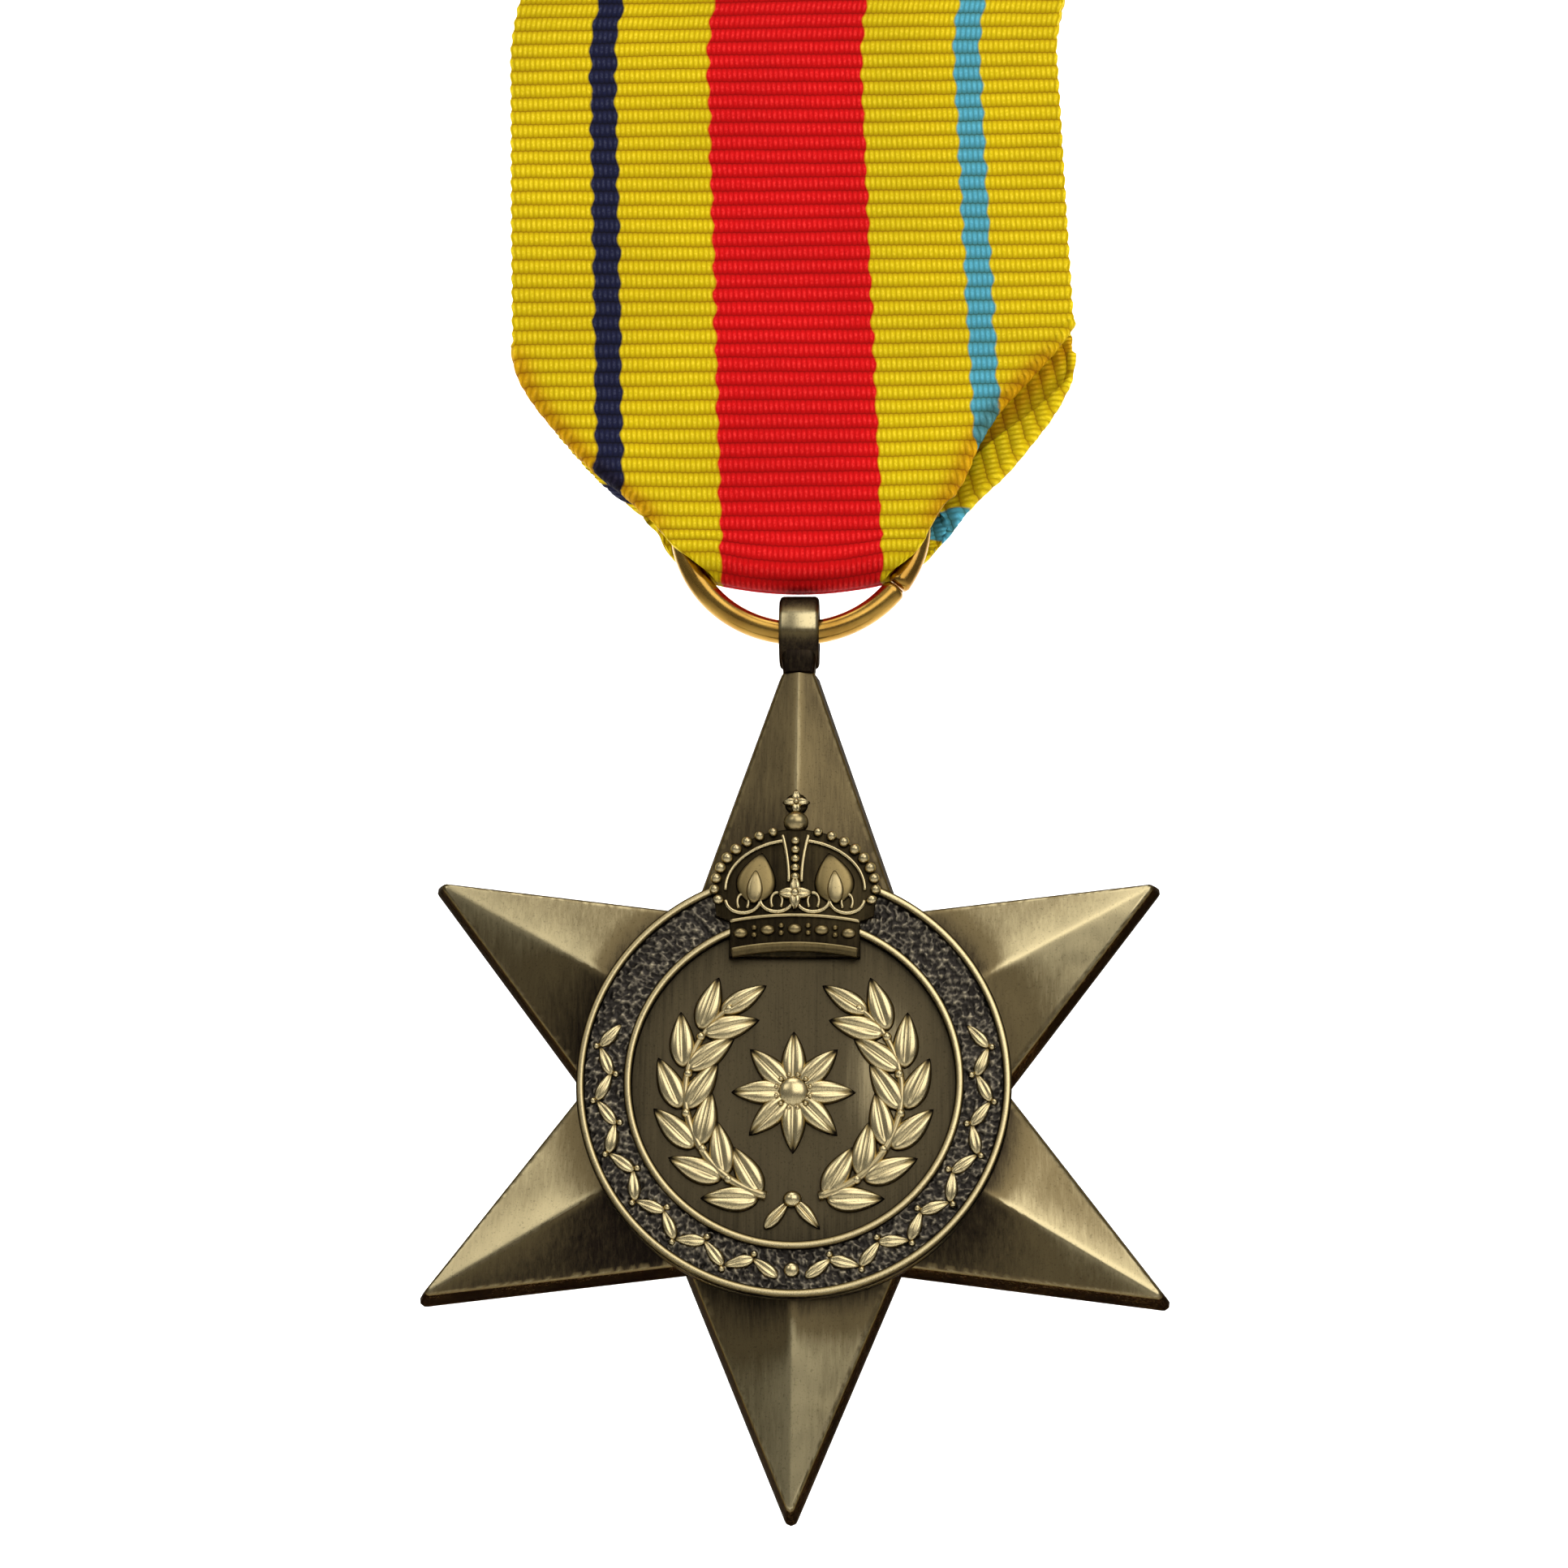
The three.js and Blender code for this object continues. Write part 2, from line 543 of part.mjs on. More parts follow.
const star = starBody();
const crownNeighbours = [
  star.translate([0, -GAP, 0]),
  cylinder('y', DISC_RADIUS + GAP, DISC_FRONT - GAP, 0, [0, 0], ROUND),
  annulus(FIELD_RADIUS - GAP, DISC_RADIUS + GAP, 0, RIM_FRONT - GAP),
];
hanging.add(
  piece('suspension_loop', suspensionLoop(star), BRONZE),
  piece('star_body', star, BRONZE),
  piece('medallion_disc', medallionDisc(), DARK_BRONZE),
  piece('circlet_outer_rim', outerRim(), BRIGHT_BRONZE),
  piece('circlet_inner_rim', innerRim(), BRIGHT_BRONZE),
  piece('circlet_band', circletBand(), DARK_BRONZE),
  piece('laurel_left', laurelBranch(-1), BRIGHT_BRONZE),
  piece('laurel_right', laurelBranch(1), BRIGHT_BRONZE),
  piece('centre_rosette', centreRosette(), BRIGHT_BRONZE),
  piece('wreath_tie', wreathTie(), BRIGHT_BRONZE),
  piece('crown', crown(crownNeighbours), BRIGHT_BRONZE),
);

export default medal;
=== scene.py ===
"""A service medal: a faceted bronze star on a gilt ring, a striped corded ribbon and a pin brooch.

Local coordinates are millimetres from the star's centre, in the plane the medal hangs in: x to the
right, y to the back, z up. `place` turns them into the frame's metres.
"""
import json
import math

import bmesh
import bpy
import numpy as np
from mathutils import Matrix, Vector, noise

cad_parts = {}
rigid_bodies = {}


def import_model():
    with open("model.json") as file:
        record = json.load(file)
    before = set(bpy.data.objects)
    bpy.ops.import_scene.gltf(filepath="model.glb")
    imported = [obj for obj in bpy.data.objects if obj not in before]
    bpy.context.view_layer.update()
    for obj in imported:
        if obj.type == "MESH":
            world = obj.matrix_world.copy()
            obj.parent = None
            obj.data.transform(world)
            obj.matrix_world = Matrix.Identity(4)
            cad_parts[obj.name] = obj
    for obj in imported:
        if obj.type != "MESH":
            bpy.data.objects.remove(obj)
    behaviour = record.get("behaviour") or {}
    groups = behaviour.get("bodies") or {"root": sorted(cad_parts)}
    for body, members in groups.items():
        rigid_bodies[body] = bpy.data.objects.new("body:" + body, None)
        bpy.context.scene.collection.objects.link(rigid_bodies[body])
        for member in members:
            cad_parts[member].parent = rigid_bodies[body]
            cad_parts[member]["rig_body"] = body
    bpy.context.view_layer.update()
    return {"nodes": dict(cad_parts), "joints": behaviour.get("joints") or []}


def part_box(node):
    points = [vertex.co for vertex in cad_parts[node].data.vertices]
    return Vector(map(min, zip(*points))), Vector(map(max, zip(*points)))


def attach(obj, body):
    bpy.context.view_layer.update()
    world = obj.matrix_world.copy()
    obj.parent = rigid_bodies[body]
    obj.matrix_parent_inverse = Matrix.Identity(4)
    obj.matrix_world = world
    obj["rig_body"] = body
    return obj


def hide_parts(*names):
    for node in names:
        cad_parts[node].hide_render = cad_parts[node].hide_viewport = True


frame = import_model()

MM = 0.001
TAU = 2 * math.pi

# ---- Places taken from the frame ----

joints = {joint["name"]: joint for joint in frame["joints"]}
disc_low, disc_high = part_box("medallion_disc")
ORIGIN = np.array([0.0, joints["star_swing"]["pos_m"][1], (disc_low.z + disc_high.z) / 2])


def node_box(name):
    """Lowest and highest corner of a CAD node in local millimetres."""
    low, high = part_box(name)
    return (np.array(low) - ORIGIN) / MM, (np.array(high) - ORIGIN) / MM


def joint_height(name):
    return (joints[name]["pos_m"][2] - ORIGIN[2]) / MM


BAR_Z = joint_height("ribbon_swing")
RING_Z = joint_height("ring_slide")
WIRE_Z = joint_height("star_swing")
ring_high = node_box("suspension_ring")[1]
WIRE_RADIUS = ring_high[1]
RING_RADIUS = ring_high[0] - WIRE_RADIUS
DISC_RADIUS = node_box("medallion_disc")[1][0]
DISC_FRONT = node_box("medallion_disc")[0][1]
RIM_FRONT = node_box("circlet_outer_rim")[0][1]
STAR_BACK = node_box("star_body")[1][1]


def place(points):
    return ORIGIN + np.asarray(points, float) * MM


# ---- Mesh helpers ----


def new_object(name, data):
    made = bpy.data.objects.new(name, data)
    bpy.context.scene.collection.objects.link(made)
    return made


def add_mesh(name, points, faces, body, material, values, uvs=None):
    """Makes a smooth mesh piece from local points, with float attributes and UVs per point."""
    mesh = bpy.data.meshes.new(name)
    mesh.from_pydata([tuple(p) for p in place(points)], [], [tuple(int(i) for i in f) for f in faces])
    mesh.polygons.foreach_set("use_smooth", [True] * len(mesh.polygons))
    for key, data in values.items():
        layer = mesh.attributes.new(key, "FLOAT", "POINT")
        layer.data.foreach_set("value", np.asarray(data, np.float32))
    if uvs is not None:
        layer = mesh.uv_layers.new(name="UVMap")
        loops = np.zeros(len(mesh.loops), np.int32)
        mesh.loops.foreach_get("vertex_index", loops)
        layer.data.foreach_set("uv", np.asarray(uvs, np.float32)[loops].ravel())
    mesh.validate()
    piece = new_object(name, mesh)
    piece.data.materials.append(material)
    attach(piece, body)
    return piece


def tidy_normals(piece, merge):
    """Joins points that lie together and turns every face outward."""
    shape = bmesh.new()
    shape.from_mesh(piece.data)
    bmesh.ops.remove_doubles(shape, verts=shape.verts, dist=merge * MM)
    bmesh.ops.recalc_face_normals(shape, faces=shape.faces)
    shape.to_mesh(piece.data)
    shape.free()


class Build:
    """Collects grids of points and faces, with one value per point of wear and painted light and shade,
    into one mesh.
    """

    def __init__(self):
        self.points, self.faces, self.wear_and_light = [], [], []

    def grid(self, points, wear_and_light, close_u=False, close_v=False, caps=False):
        points = np.asarray(points, float)
        rows, columns = points.shape[:2]
        start = len(self.points)
        self.points.extend(points.reshape(-1, 3).tolist())
        self.wear_and_light.extend(np.broadcast_to(wear_and_light, (rows, columns)).ravel().tolist())
        for i in range(rows if close_v else rows - 1):
            for j in range(columns if close_u else columns - 1):
                a, b = start + i * columns + j, start + i * columns + (j + 1) % columns
                c, d = (start + ((i + 1) % rows) * columns + k for k in (j, (j + 1) % columns))
                self.faces.append((a, b, d, c))
        if caps:
            self.faces.append(tuple(range(start + columns - 1, start - 1, -1)))
            last = start + (rows - 1) * columns
            self.faces.append(tuple(range(last, last + columns)))

    def make(self, name, body, slot, material, merge=0.002):
        piece = add_mesh(name, self.points, self.faces, body, material, {"wear_and_light": self.wear_and_light})
        tidy_normals(piece, merge)
        return piece


def smooth_step(x, low, high):
    t = np.clip((np.asarray(x, float) - low) / (high - low), 0, 1)
    return t * t * (3 - 2 * t)


def window(x, rise, fall):
    """1 between two soft edges, each given as (start, end), and 0 outside them."""
    return smooth_step(x, *rise) * (1 - smooth_step(x, *fall))


def curve_through(knots, at):
    """Smooth values of a table of (position, value) knots, by cubic Hermite pieces."""
    x, y = np.array(sorted(knots)).T
    slope = np.gradient(y, x)
    at = np.clip(at, x[0], x[-1])
    i = np.clip(np.searchsorted(x, at) - 1, 0, len(x) - 2)
    span = x[i + 1] - x[i]
    t = (at - x[i]) / span
    return (
        (2 * t**3 - 3 * t**2 + 1) * y[i] + (t**3 - 2 * t**2 + t) * span * slope[i]
        + (-2 * t**3 + 3 * t**2) * y[i + 1] + (t**3 - t**2) * span * slope[i + 1]
    )


def noise_values(points, scale, octaves=2):
    """Smooth noise from -1 to 1 at each local point."""
    return np.array([
        noise.fractal(Vector(p) * scale, 1.0, 2.0, octaves, noise_basis="PERLIN_ORIGINAL")
        for p in np.asarray(points, float).reshape(-1, 3)
    ])


def lathe(build, profile, wear_and_light, turns=240):
    """Turns a closed profile of (radius, y) round the star's Y axis."""
    angle = np.linspace(0, TAU, turns, endpoint=False)
    profile = np.asarray(profile, float)
    x = np.outer(np.cos(angle), profile[:, 0])
    z = np.outer(np.sin(angle), profile[:, 0])
    y = np.broadcast_to(profile[:, 1], x.shape)
    build.grid(np.stack([x, y, z], -1), wear_and_light, close_u=True, close_v=True)


def tube(build, path, radius, wear_and_light, sides=12):
    """Sweeps a round section along a path of local points; `radius` may vary along it."""
    path = np.asarray(path, float)
    tangent = np.gradient(path, axis=0)
    tangent /= np.linalg.norm(tangent, axis=1)[:, None]
    front = np.array([0.0, -1.0, 0.0])
    side = np.cross(tangent, front)
    side /= np.maximum(np.linalg.norm(side, axis=1), 1e-9)[:, None]
    up = np.cross(side, tangent)
    radius = np.broadcast_to(radius, len(path))[:, None, None]
    angle = np.linspace(0, TAU, sides, endpoint=False)[None, :, None]
    rings = path[:, None] + radius * (np.cos(angle) * side[:, None] + np.sin(angle) * up[:, None])
    build.grid(rings, wear_and_light, close_u=True, caps=True)


def bead(build, centre, size, wear_and_light=1.0, sides=20, rows=12):
    """An ellipsoid with half-axes size = (x, y, z), worn on its front."""
    polar = np.linspace(0, math.pi, rows)[:, None]
    angle = np.linspace(0, TAU, sides, endpoint=False)[None, :]
    x = centre[0] + size[0] * np.sin(polar) * np.cos(angle)
    z = centre[2] + size[2] * np.sin(polar) * np.sin(angle)
    depth = -size[1] * np.cos(polar) * np.ones_like(angle)
    lit = wear_and_light * smooth_step(-depth, -0.1 * size[1], 0.75 * size[1])
    build.grid(np.stack([x, centre[1] + depth, z], -1), lit, close_u=True, caps=True)


def leaf(build, base, turn, length, width, height, wear_and_light=1.0, groove=0.3, rows=20, columns=17):
    """A pointed leaf lying on y = base[1]: domed, with a sunk midrib and a steep rim."""
    t = np.linspace(0, 1, rows)[:, None]
    s = np.linspace(-1, 1, columns)[None, :]
    outline = np.sin(math.pi * t**0.8) ** 0.8 * (1 - 0.15 * t)
    along = (t - 0.5) * length * np.ones_like(s)
    across = s * outline * width / 2
    dome = (1 - np.abs(s) ** 4) ** 0.5 * (outline**0.5)
    rib = 1 - groove * np.exp(-((s * outline / 0.16) ** 2)) * smooth_step(t, 0.02, 0.2)
    rise = height * dome * rib
    x = base[0] + along * math.cos(turn) - across * math.sin(turn)
    z = base[2] + along * math.sin(turn) + across * math.cos(turn)
    y = base[1] - rise
    lit = wear_and_light * smooth_step(rise / height, 0.30, 0.75)
    under = np.stack([x, np.full_like(x, base[1] + 0.02), z], -1)
    top = np.stack([x, y, z], -1)
    loop = np.concatenate([top, under[:, ::-1]], 1)
    build.grid(loop, np.concatenate([lit, 0 * lit], 1), close_u=True, caps=True)


def petals(build, count, y, z, reach, size, **shape):
    """Leaves of size (length, width, height) standing out all round from x = 0 and this z."""
    for i in range(count):
        angle = TAU * i / count
        base = (reach * math.cos(angle), y, z + reach * math.sin(angle))
        leaf(build, base, angle, *size, **shape)


SHARP = math.radians(28)  # edges of the CAD nodes that turn more than this are rounded off


def is_sharp(edge):
    return len(edge.link_faces) == 2 and edge.calc_face_angle(0) > SHARP


def refine(node, width, material, name):
    """A bevelled, smooth-shaded copy of a CAD node, standing for it."""
    source = frame["nodes"][node]
    mesh = source.data.copy()
    shape = bmesh.new()
    shape.from_mesh(mesh)
    bmesh.ops.remove_doubles(shape, verts=shape.verts, dist=0.002 * MM)
    bmesh.ops.dissolve_limit(shape, angle_limit=math.radians(2), verts=shape.verts, edges=shape.edges)
    bmesh.ops.bevel(shape, geom=[e for e in shape.edges if is_sharp(e)], offset=width * MM,
                    segments=3, profile=0.6, affect="EDGES", clamp_overlap=True)
    for face in shape.faces:
        face.smooth = True
    for edge in shape.edges:
        edge.smooth = not is_sharp(edge)
    shape.to_mesh(mesh)
    shape.free()
    mesh.materials.clear()
    mesh.materials.append(material)
    piece = new_object(name, mesh)
    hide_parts(node)
    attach(piece, source["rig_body"])
    return piece


# ---- Material helpers ----

OBJECT_COORDINATES = 3  # output of the texture coordinate node
FLOAT_VALUE = 2  # output of the attribute node


class Nodes:
    """A short way to write a node tree: each call adds one node and returns its output."""

    def __init__(self, name):
        self.material = bpy.data.materials.new(name)
        self.material.use_nodes = True
        self.tree = self.material.node_tree
        self.shader = self.tree.nodes["Principled BSDF"]

    def node(self, kind, inputs=(), output=0, **settings):
        made = self.tree.nodes.new(kind)
        for key, value in settings.items():
            setattr(made, key, value)
        for key, value in dict(inputs).items():
            self.feed(made.inputs[key], value)
        return made.outputs[output]

    def feed(self, socket, value):
        if isinstance(value, bpy.types.NodeSocket):
            self.tree.links.new(value, socket)
        else:
            socket.default_value = value

    def set(self, **values):
        for key, value in values.items():
            self.feed(self.shader.inputs[key.replace("_", " ")], value)

    def math(self, operation, a, b=0.0, clamp=False):
        return self.node("ShaderNodeMath", {0: a, 1: b}, operation=operation, use_clamp=clamp)

    def plus(self, a, b, clamp=False):
        return self.math("ADD", a, b, clamp)

    def minus(self, a, b):
        return self.math("SUBTRACT", a, b)

    def times(self, a, b):
        return self.math("MULTIPLY", a, b)

    def mix(self, factor, a, b, blend="MIX"):
        """Mixes two colours; the node keeps its colour sockets behind those for numbers."""
        made = self.tree.nodes.new("ShaderNodeMix")
        made.data_type, made.blend_type, made.clamp_factor = "RGBA", blend, True
        for socket, value in ((made.inputs[0], factor), (made.inputs[6], a), (made.inputs[7], b)):
            self.feed(socket, value)
        return made.outputs[2]

    def ramp(self, value, stops, smooth=True):
        made = self.tree.nodes.new("ShaderNodeValToRGB")
        made.color_ramp.interpolation = "EASE" if smooth else "LINEAR"
        while len(made.color_ramp.elements) < len(stops):
            made.color_ramp.elements.new(0.5)
        for element, (position, color) in zip(made.color_ramp.elements, stops):
            element.position = position
            element.color = (*color, 1) if hasattr(color, "__len__") else (color, color, color, 1)
        self.feed(made.inputs[0], value)
        return made.outputs[0]

    def object_noise(self, scale, detail=3.0, stretch=(1, 1, 1), roughness=0.5):
        where = self.node("ShaderNodeTexCoord", output=OBJECT_COORDINATES)
        stretched = self.node("ShaderNodeVectorMath", {0: where, 1: stretch}, operation="MULTIPLY")
        return self.node("ShaderNodeTexNoise", {
            "Vector": stretched, "Scale": scale, "Detail": detail, "Roughness": roughness})

    def attribute(self, name):
        return self.node("ShaderNodeAttribute", output=FLOAT_VALUE, attribute_name=name)

    def bump(self, height, strength, distance):
        normal = self.node("ShaderNodeBump", {
            "Height": height, "Strength": strength, "Distance": distance})
        self.set(Normal=normal)


BRUSH = (1.0, 1.0, 0.035)  # brush lines run along Z


def bronze(name, dark, middle, bright, rough, streaks, relief=0.28):
    """Brushed antique bronze: dark patina where the per-point value of wear and painted light is 0, bright
    metal where it is 1.
    """
    n = Nodes(name)
    brush = n.object_noise(5200, 4, BRUSH, 0.6)
    fine = n.object_noise(14000, 2, BRUSH, 0.6)
    cloud = n.object_noise(260, 4, (1, 1, 0.7), 0.55)
    grain = n.object_noise(9000)
    lines = n.plus(n.times(brush, 0.65), n.times(fine, 0.35))
    uneven = n.times(n.minus(cloud, 0.5), 0.25)
    scratched = n.times(n.minus(lines, 0.5), streaks)
    amount = n.plus(n.plus(n.attribute("wear_and_light"), uneven), scratched, clamp=True)
    color = n.ramp(amount, [(0.0, dark), (0.45, middle), (1.0, bright)])
    speck = n.ramp(grain, [(0.30, 0.72), (0.42, 1.0)], smooth=False)
    n.set(Base_Color=n.mix(1.0, color, speck, "MULTIPLY"), Metallic=1.0)
    roughness = n.plus(n.ramp(amount, [(0.0, rough[0]), (1.0, rough[1])]),
                       n.times(n.minus(lines, 0.5), 0.16))
    n.set(Roughness=roughness)
    height = n.plus(n.times(lines, 0.7), n.times(grain, 0.3))
    n.set(Specular_Tint=(0.30, 0.26, 0.20, 1))
    n.bump(height, relief, 0.00002)
    return n.material


def plain_metal(name, color, tint, roughness, brushed=(1, 1, 1), strength=0.12):
    """Bright turned or drawn metal with faint scratches and cloudy tarnish."""
    n = Nodes(name)
    cloud = n.object_noise(300, 4)
    lines = n.object_noise(7000, 4, brushed, 0.6)
    shade = n.ramp(cloud, [(0.3, 0.0), (0.72, 1.0)])
    n.set(Base_Color=n.mix(shade, color, tint), Metallic=1.0)
    n.set(Roughness=n.plus(roughness, n.times(n.minus(lines, 0.5), 0.2)))
    n.bump(lines, strength, 0.00002)
    return n.material


STAR_BRONZE = bronze("star_bronze", (0.020, 0.0135, 0.010), (0.175, 0.130, 0.060), (0.56, 0.46, 0.25),
                     rough=(0.46, 0.29), streaks=0.42)
FIELD_BRONZE = bronze("field_bronze", (0.014, 0.0115, 0.008), (0.11, 0.085, 0.045), (0.46, 0.37, 0.20),
                      rough=(0.55, 0.36), streaks=0.55)
BAND_BRONZE = bronze("band_bronze", (0.042, 0.036, 0.030), (0.17, 0.145, 0.105), (0.46, 0.39, 0.26),
                     rough=(0.5, 0.4), streaks=0.1)
RELIEF_BRONZE = bronze("relief_bronze", (0.014, 0.010, 0.006), (0.30, 0.22, 0.09), (0.74, 0.60, 0.32),
                       rough=(0.5, 0.27), streaks=0.18, relief=0.10)
ALONG_X = (0.04, 1, 1)  # brush lines run along X
GILT = plain_metal("ring_gilt", (0.40, 0.205, 0.035, 1), (0.56, 0.33, 0.07, 1), 0.22, strength=0.08)
BROOCH_BRASS = plain_metal("brooch_brass", (0.45, 0.32, 0.125, 1), (0.56, 0.405, 0.17, 1), 0.32, ALONG_X)
PIN_STEEL = plain_metal("pin_steel", (0.58, 0.58, 0.60, 1), (0.72, 0.72, 0.73, 1), 0.22, ALONG_X)

# ---- Ribbon cloth ----

RIBBON_HALF = node_box("ribbon_front")[1][0]
RIB = 0.88  # spacing of the cords across the ribbon
WARP = 0.30  # spacing of the threads along it
YELLOW = (0.70, 0.51, 0.002)
NAVY = (0.012, 0.014, 0.045)
RED = (0.70, 0.004, 0.005)
SKY = (0.08, 0.36, 0.47)
STRIPES = [  # (right edge, colour), from the left edge of the front
    (-11.3, YELLOW), (-9.8, NAVY), (-4.4, YELLOW), (4.6, RED), (10.0, YELLOW), (11.5, SKY), (99, YELLOW),
]


def ribbon_cloth():
    """Corded silk: UVs are millimetres across (u) and along (v)."""
    n = Nodes("ribbon_cloth")
    uv = n.node("ShaderNodeUVMap", uv_map="UVMap")
    split = n.tree.nodes.new("ShaderNodeSeparateXYZ")
    n.feed(split.inputs[0], uv)
    u, v = split.outputs[0], split.outputs[1]
    wobble = n.node("ShaderNodeTexNoise", {"Vector": uv, "Scale": 0.7, "Detail": 3.0})
    rib_phase = n.plus(n.math("DIVIDE", v, RIB), n.times(wobble, 0.10))
    crown = n.math("ABSOLUTE", n.math("SINE", n.times(rib_phase, math.pi)))
    swing = n.math("SINE", n.times(rib_phase, math.pi))
    odd = n.math("GREATER_THAN", swing, 0.0)
    thread_phase = n.plus(n.math("DIVIDE", u, WARP), n.times(odd, 0.5))
    thread = n.math("ABSOLUTE", n.math("COSINE", n.times(thread_phase, math.pi)))
    zigzag = n.times(swing, 0.09)
    soft = n.times(n.minus(wobble, 0.5), 0.4)
    edge_u = n.plus(u, n.plus(zigzag, soft))
    color = (*STRIPES[0][1], 1)
    for (edge, _), (_, after) in zip(STRIPES, STRIPES[1:]):
        step = n.times(n.minus(edge_u, edge), 9.0)
        factor = n.plus(step, 0.5, clamp=True)
        color = n.mix(factor, color, (*after, 1))
    lift = n.math("POWER", crown, 0.7)
    weave = n.times(lift, n.plus(n.times(thread, 0.70), 0.30))
    fuzz = n.node("ShaderNodeTexNoise", {"Vector": uv, "Scale": 5.0, "Detail": 4.0, "Roughness": 0.7})
    dye = n.node("ShaderNodeTexNoise", {"Vector": uv, "Scale": 0.12, "Detail": 2.0})
    shade = n.ramp(weave, [(0.0, (0.52, 0.38, 0.26)), (0.35, (0.84, 0.77, 0.70)), (0.85, (1.0, 1.0, 1.0))])
    color = n.mix(1.0, color, shade, "MULTIPLY")
    glint = n.ramp(n.times(weave, fuzz), [(0.34, 0.0), (0.56, 1.0)], smooth=False)
    bright = n.mix(1.0, color, (1.28, 1.28, 1.28, 1), "MULTIPLY")
    color = n.mix(glint, color, n.mix(0.025, bright, (0.95, 0.95, 0.80, 1)))
    color = n.mix(1.0, color, n.ramp(dye, [(0.3, 0.90), (0.7, 1.0)]), "MULTIPLY")
    in_shade = n.mix(1.0, color, (0.72, 0.42, 0.30, 1), "MULTIPLY")
    color = n.mix(n.attribute("fold"), color, in_shade)
    n.set(Base_Color=color, Roughness=0.75, Specular_IOR_Level=0.1)
    n.bump(n.plus(weave, n.times(fuzz, 0.25)), 0.7, 0.00010)
    return n.material


CLOTH = ribbon_cloth()

RIBBON_T = 0.40  # between the cords' valleys
CORD_RISE = 0.065
LAYER_Y = 1.15  # middle of each layer from the hanging plane
FOLD_Z = node_box("ribbon_lower_fold")[1][2]
TAIL = 9.0
HEM = 1.6  # the rear end stops this far below the bar's axis
BEND = 0.27  # radius of the turned-back shoulders

# Half width of the outline against height above the star's centre.
OUTLINE = [
    (27.0, 4.4), (28.6, 4.5), (29.6, 6.2), (30.2, 6.95), (31.4, 7.7), (33.4, 9.15), (35.4, 11.4),
    (37.4, 13.1), (39.4, 14.6), (41.3, 15.6), (43.6, RIBBON_HALF), (90, RIBBON_HALF),
]
# On the right of the front the cloth turns under further in, and the rear corner shows past it.
RIGHT_FOLD = [
    (27.0, 4.4), (28.6, 4.5), (29.6, 6.2), (30.4, 6.8), (31.6, 7.25), (34.8, 9.2), (36.6, 10.0),
    (38.6, 11.2), (41.0, 13.3), (43.0, 15.0), (44.4, RIBBON_HALF), (90, RIBBON_HALF),
]


def lean(z):
    """How far the hanging ribbon strays to the left between the ring and the bar."""
    return -0.042 * np.maximum(z - 31, 0) * (1 - smooth_step(z, 61.2, BAR_Z - 0.3))


# The right shoulder's corner is turned over: its cords run across the ones it lies on.
CORNER = {"at": (9.2, 33.4), "along": (0.643, 0.766), "slip": 2.0}


def corner_uv(x, z):
    """Cloth coordinates of the turned corner, mirrored in the shoulder's fold line."""
    ax, az = CORNER["at"]
    dx, dz = CORNER["along"]
    along = (x - ax) * dx + (z - az) * dz
    mirrored_x = 2 * along * dx - (x - ax) + ax
    mirrored_z = 2 * along * dz - (z - az) + az
    return mirrored_x + CORNER["slip"], mirrored_z


def ribbon_path():
    """Stations along the middle of the cloth: (y, z, outward normal y, z, distance along)."""
    stations = []
    travelled = 0.0
    step = RIB / 6

    def line(start, end, normal):
        nonlocal travelled
        length = math.dist(start, end)
        count = max(2, round(length / step))
        for i in range(count):
            t = i / count
            stations.append((start[0] + t * (end[0] - start[0]), start[1] + t * (end[1] - start[1]),
                             *normal, travelled + t * length))
        travelled += length

    def arc(centre_z, start, end):
        nonlocal travelled
        length = abs(end - start) * LAYER_Y
        count = round(length / step)
        for i in range(count):
            a = start + (end - start) * i / count
            stations.append((LAYER_Y * math.cos(a), centre_z + LAYER_Y * math.sin(a),
                             math.cos(a), math.sin(a), travelled + length * i / count))
        travelled += length

    tail_low = BAR_Z - TAIL
    line((0.58, tail_low), (0.58, BAR_Z - 3.2), (1, 0))
    line((0.58, BAR_Z - 3.2), (LAYER_Y, BAR_Z - 0.2), (1, 0))
    arc(BAR_Z, 0, math.pi)
    line((-LAYER_Y, BAR_Z), (-LAYER_Y, FOLD_Z), (-1, 0))
    arc(FOLD_Z, math.pi, TAU)
    line((LAYER_Y, FOLD_Z), (LAYER_Y, BAR_Z - HEM), (1, 0))
    return np.array(stations), travelled


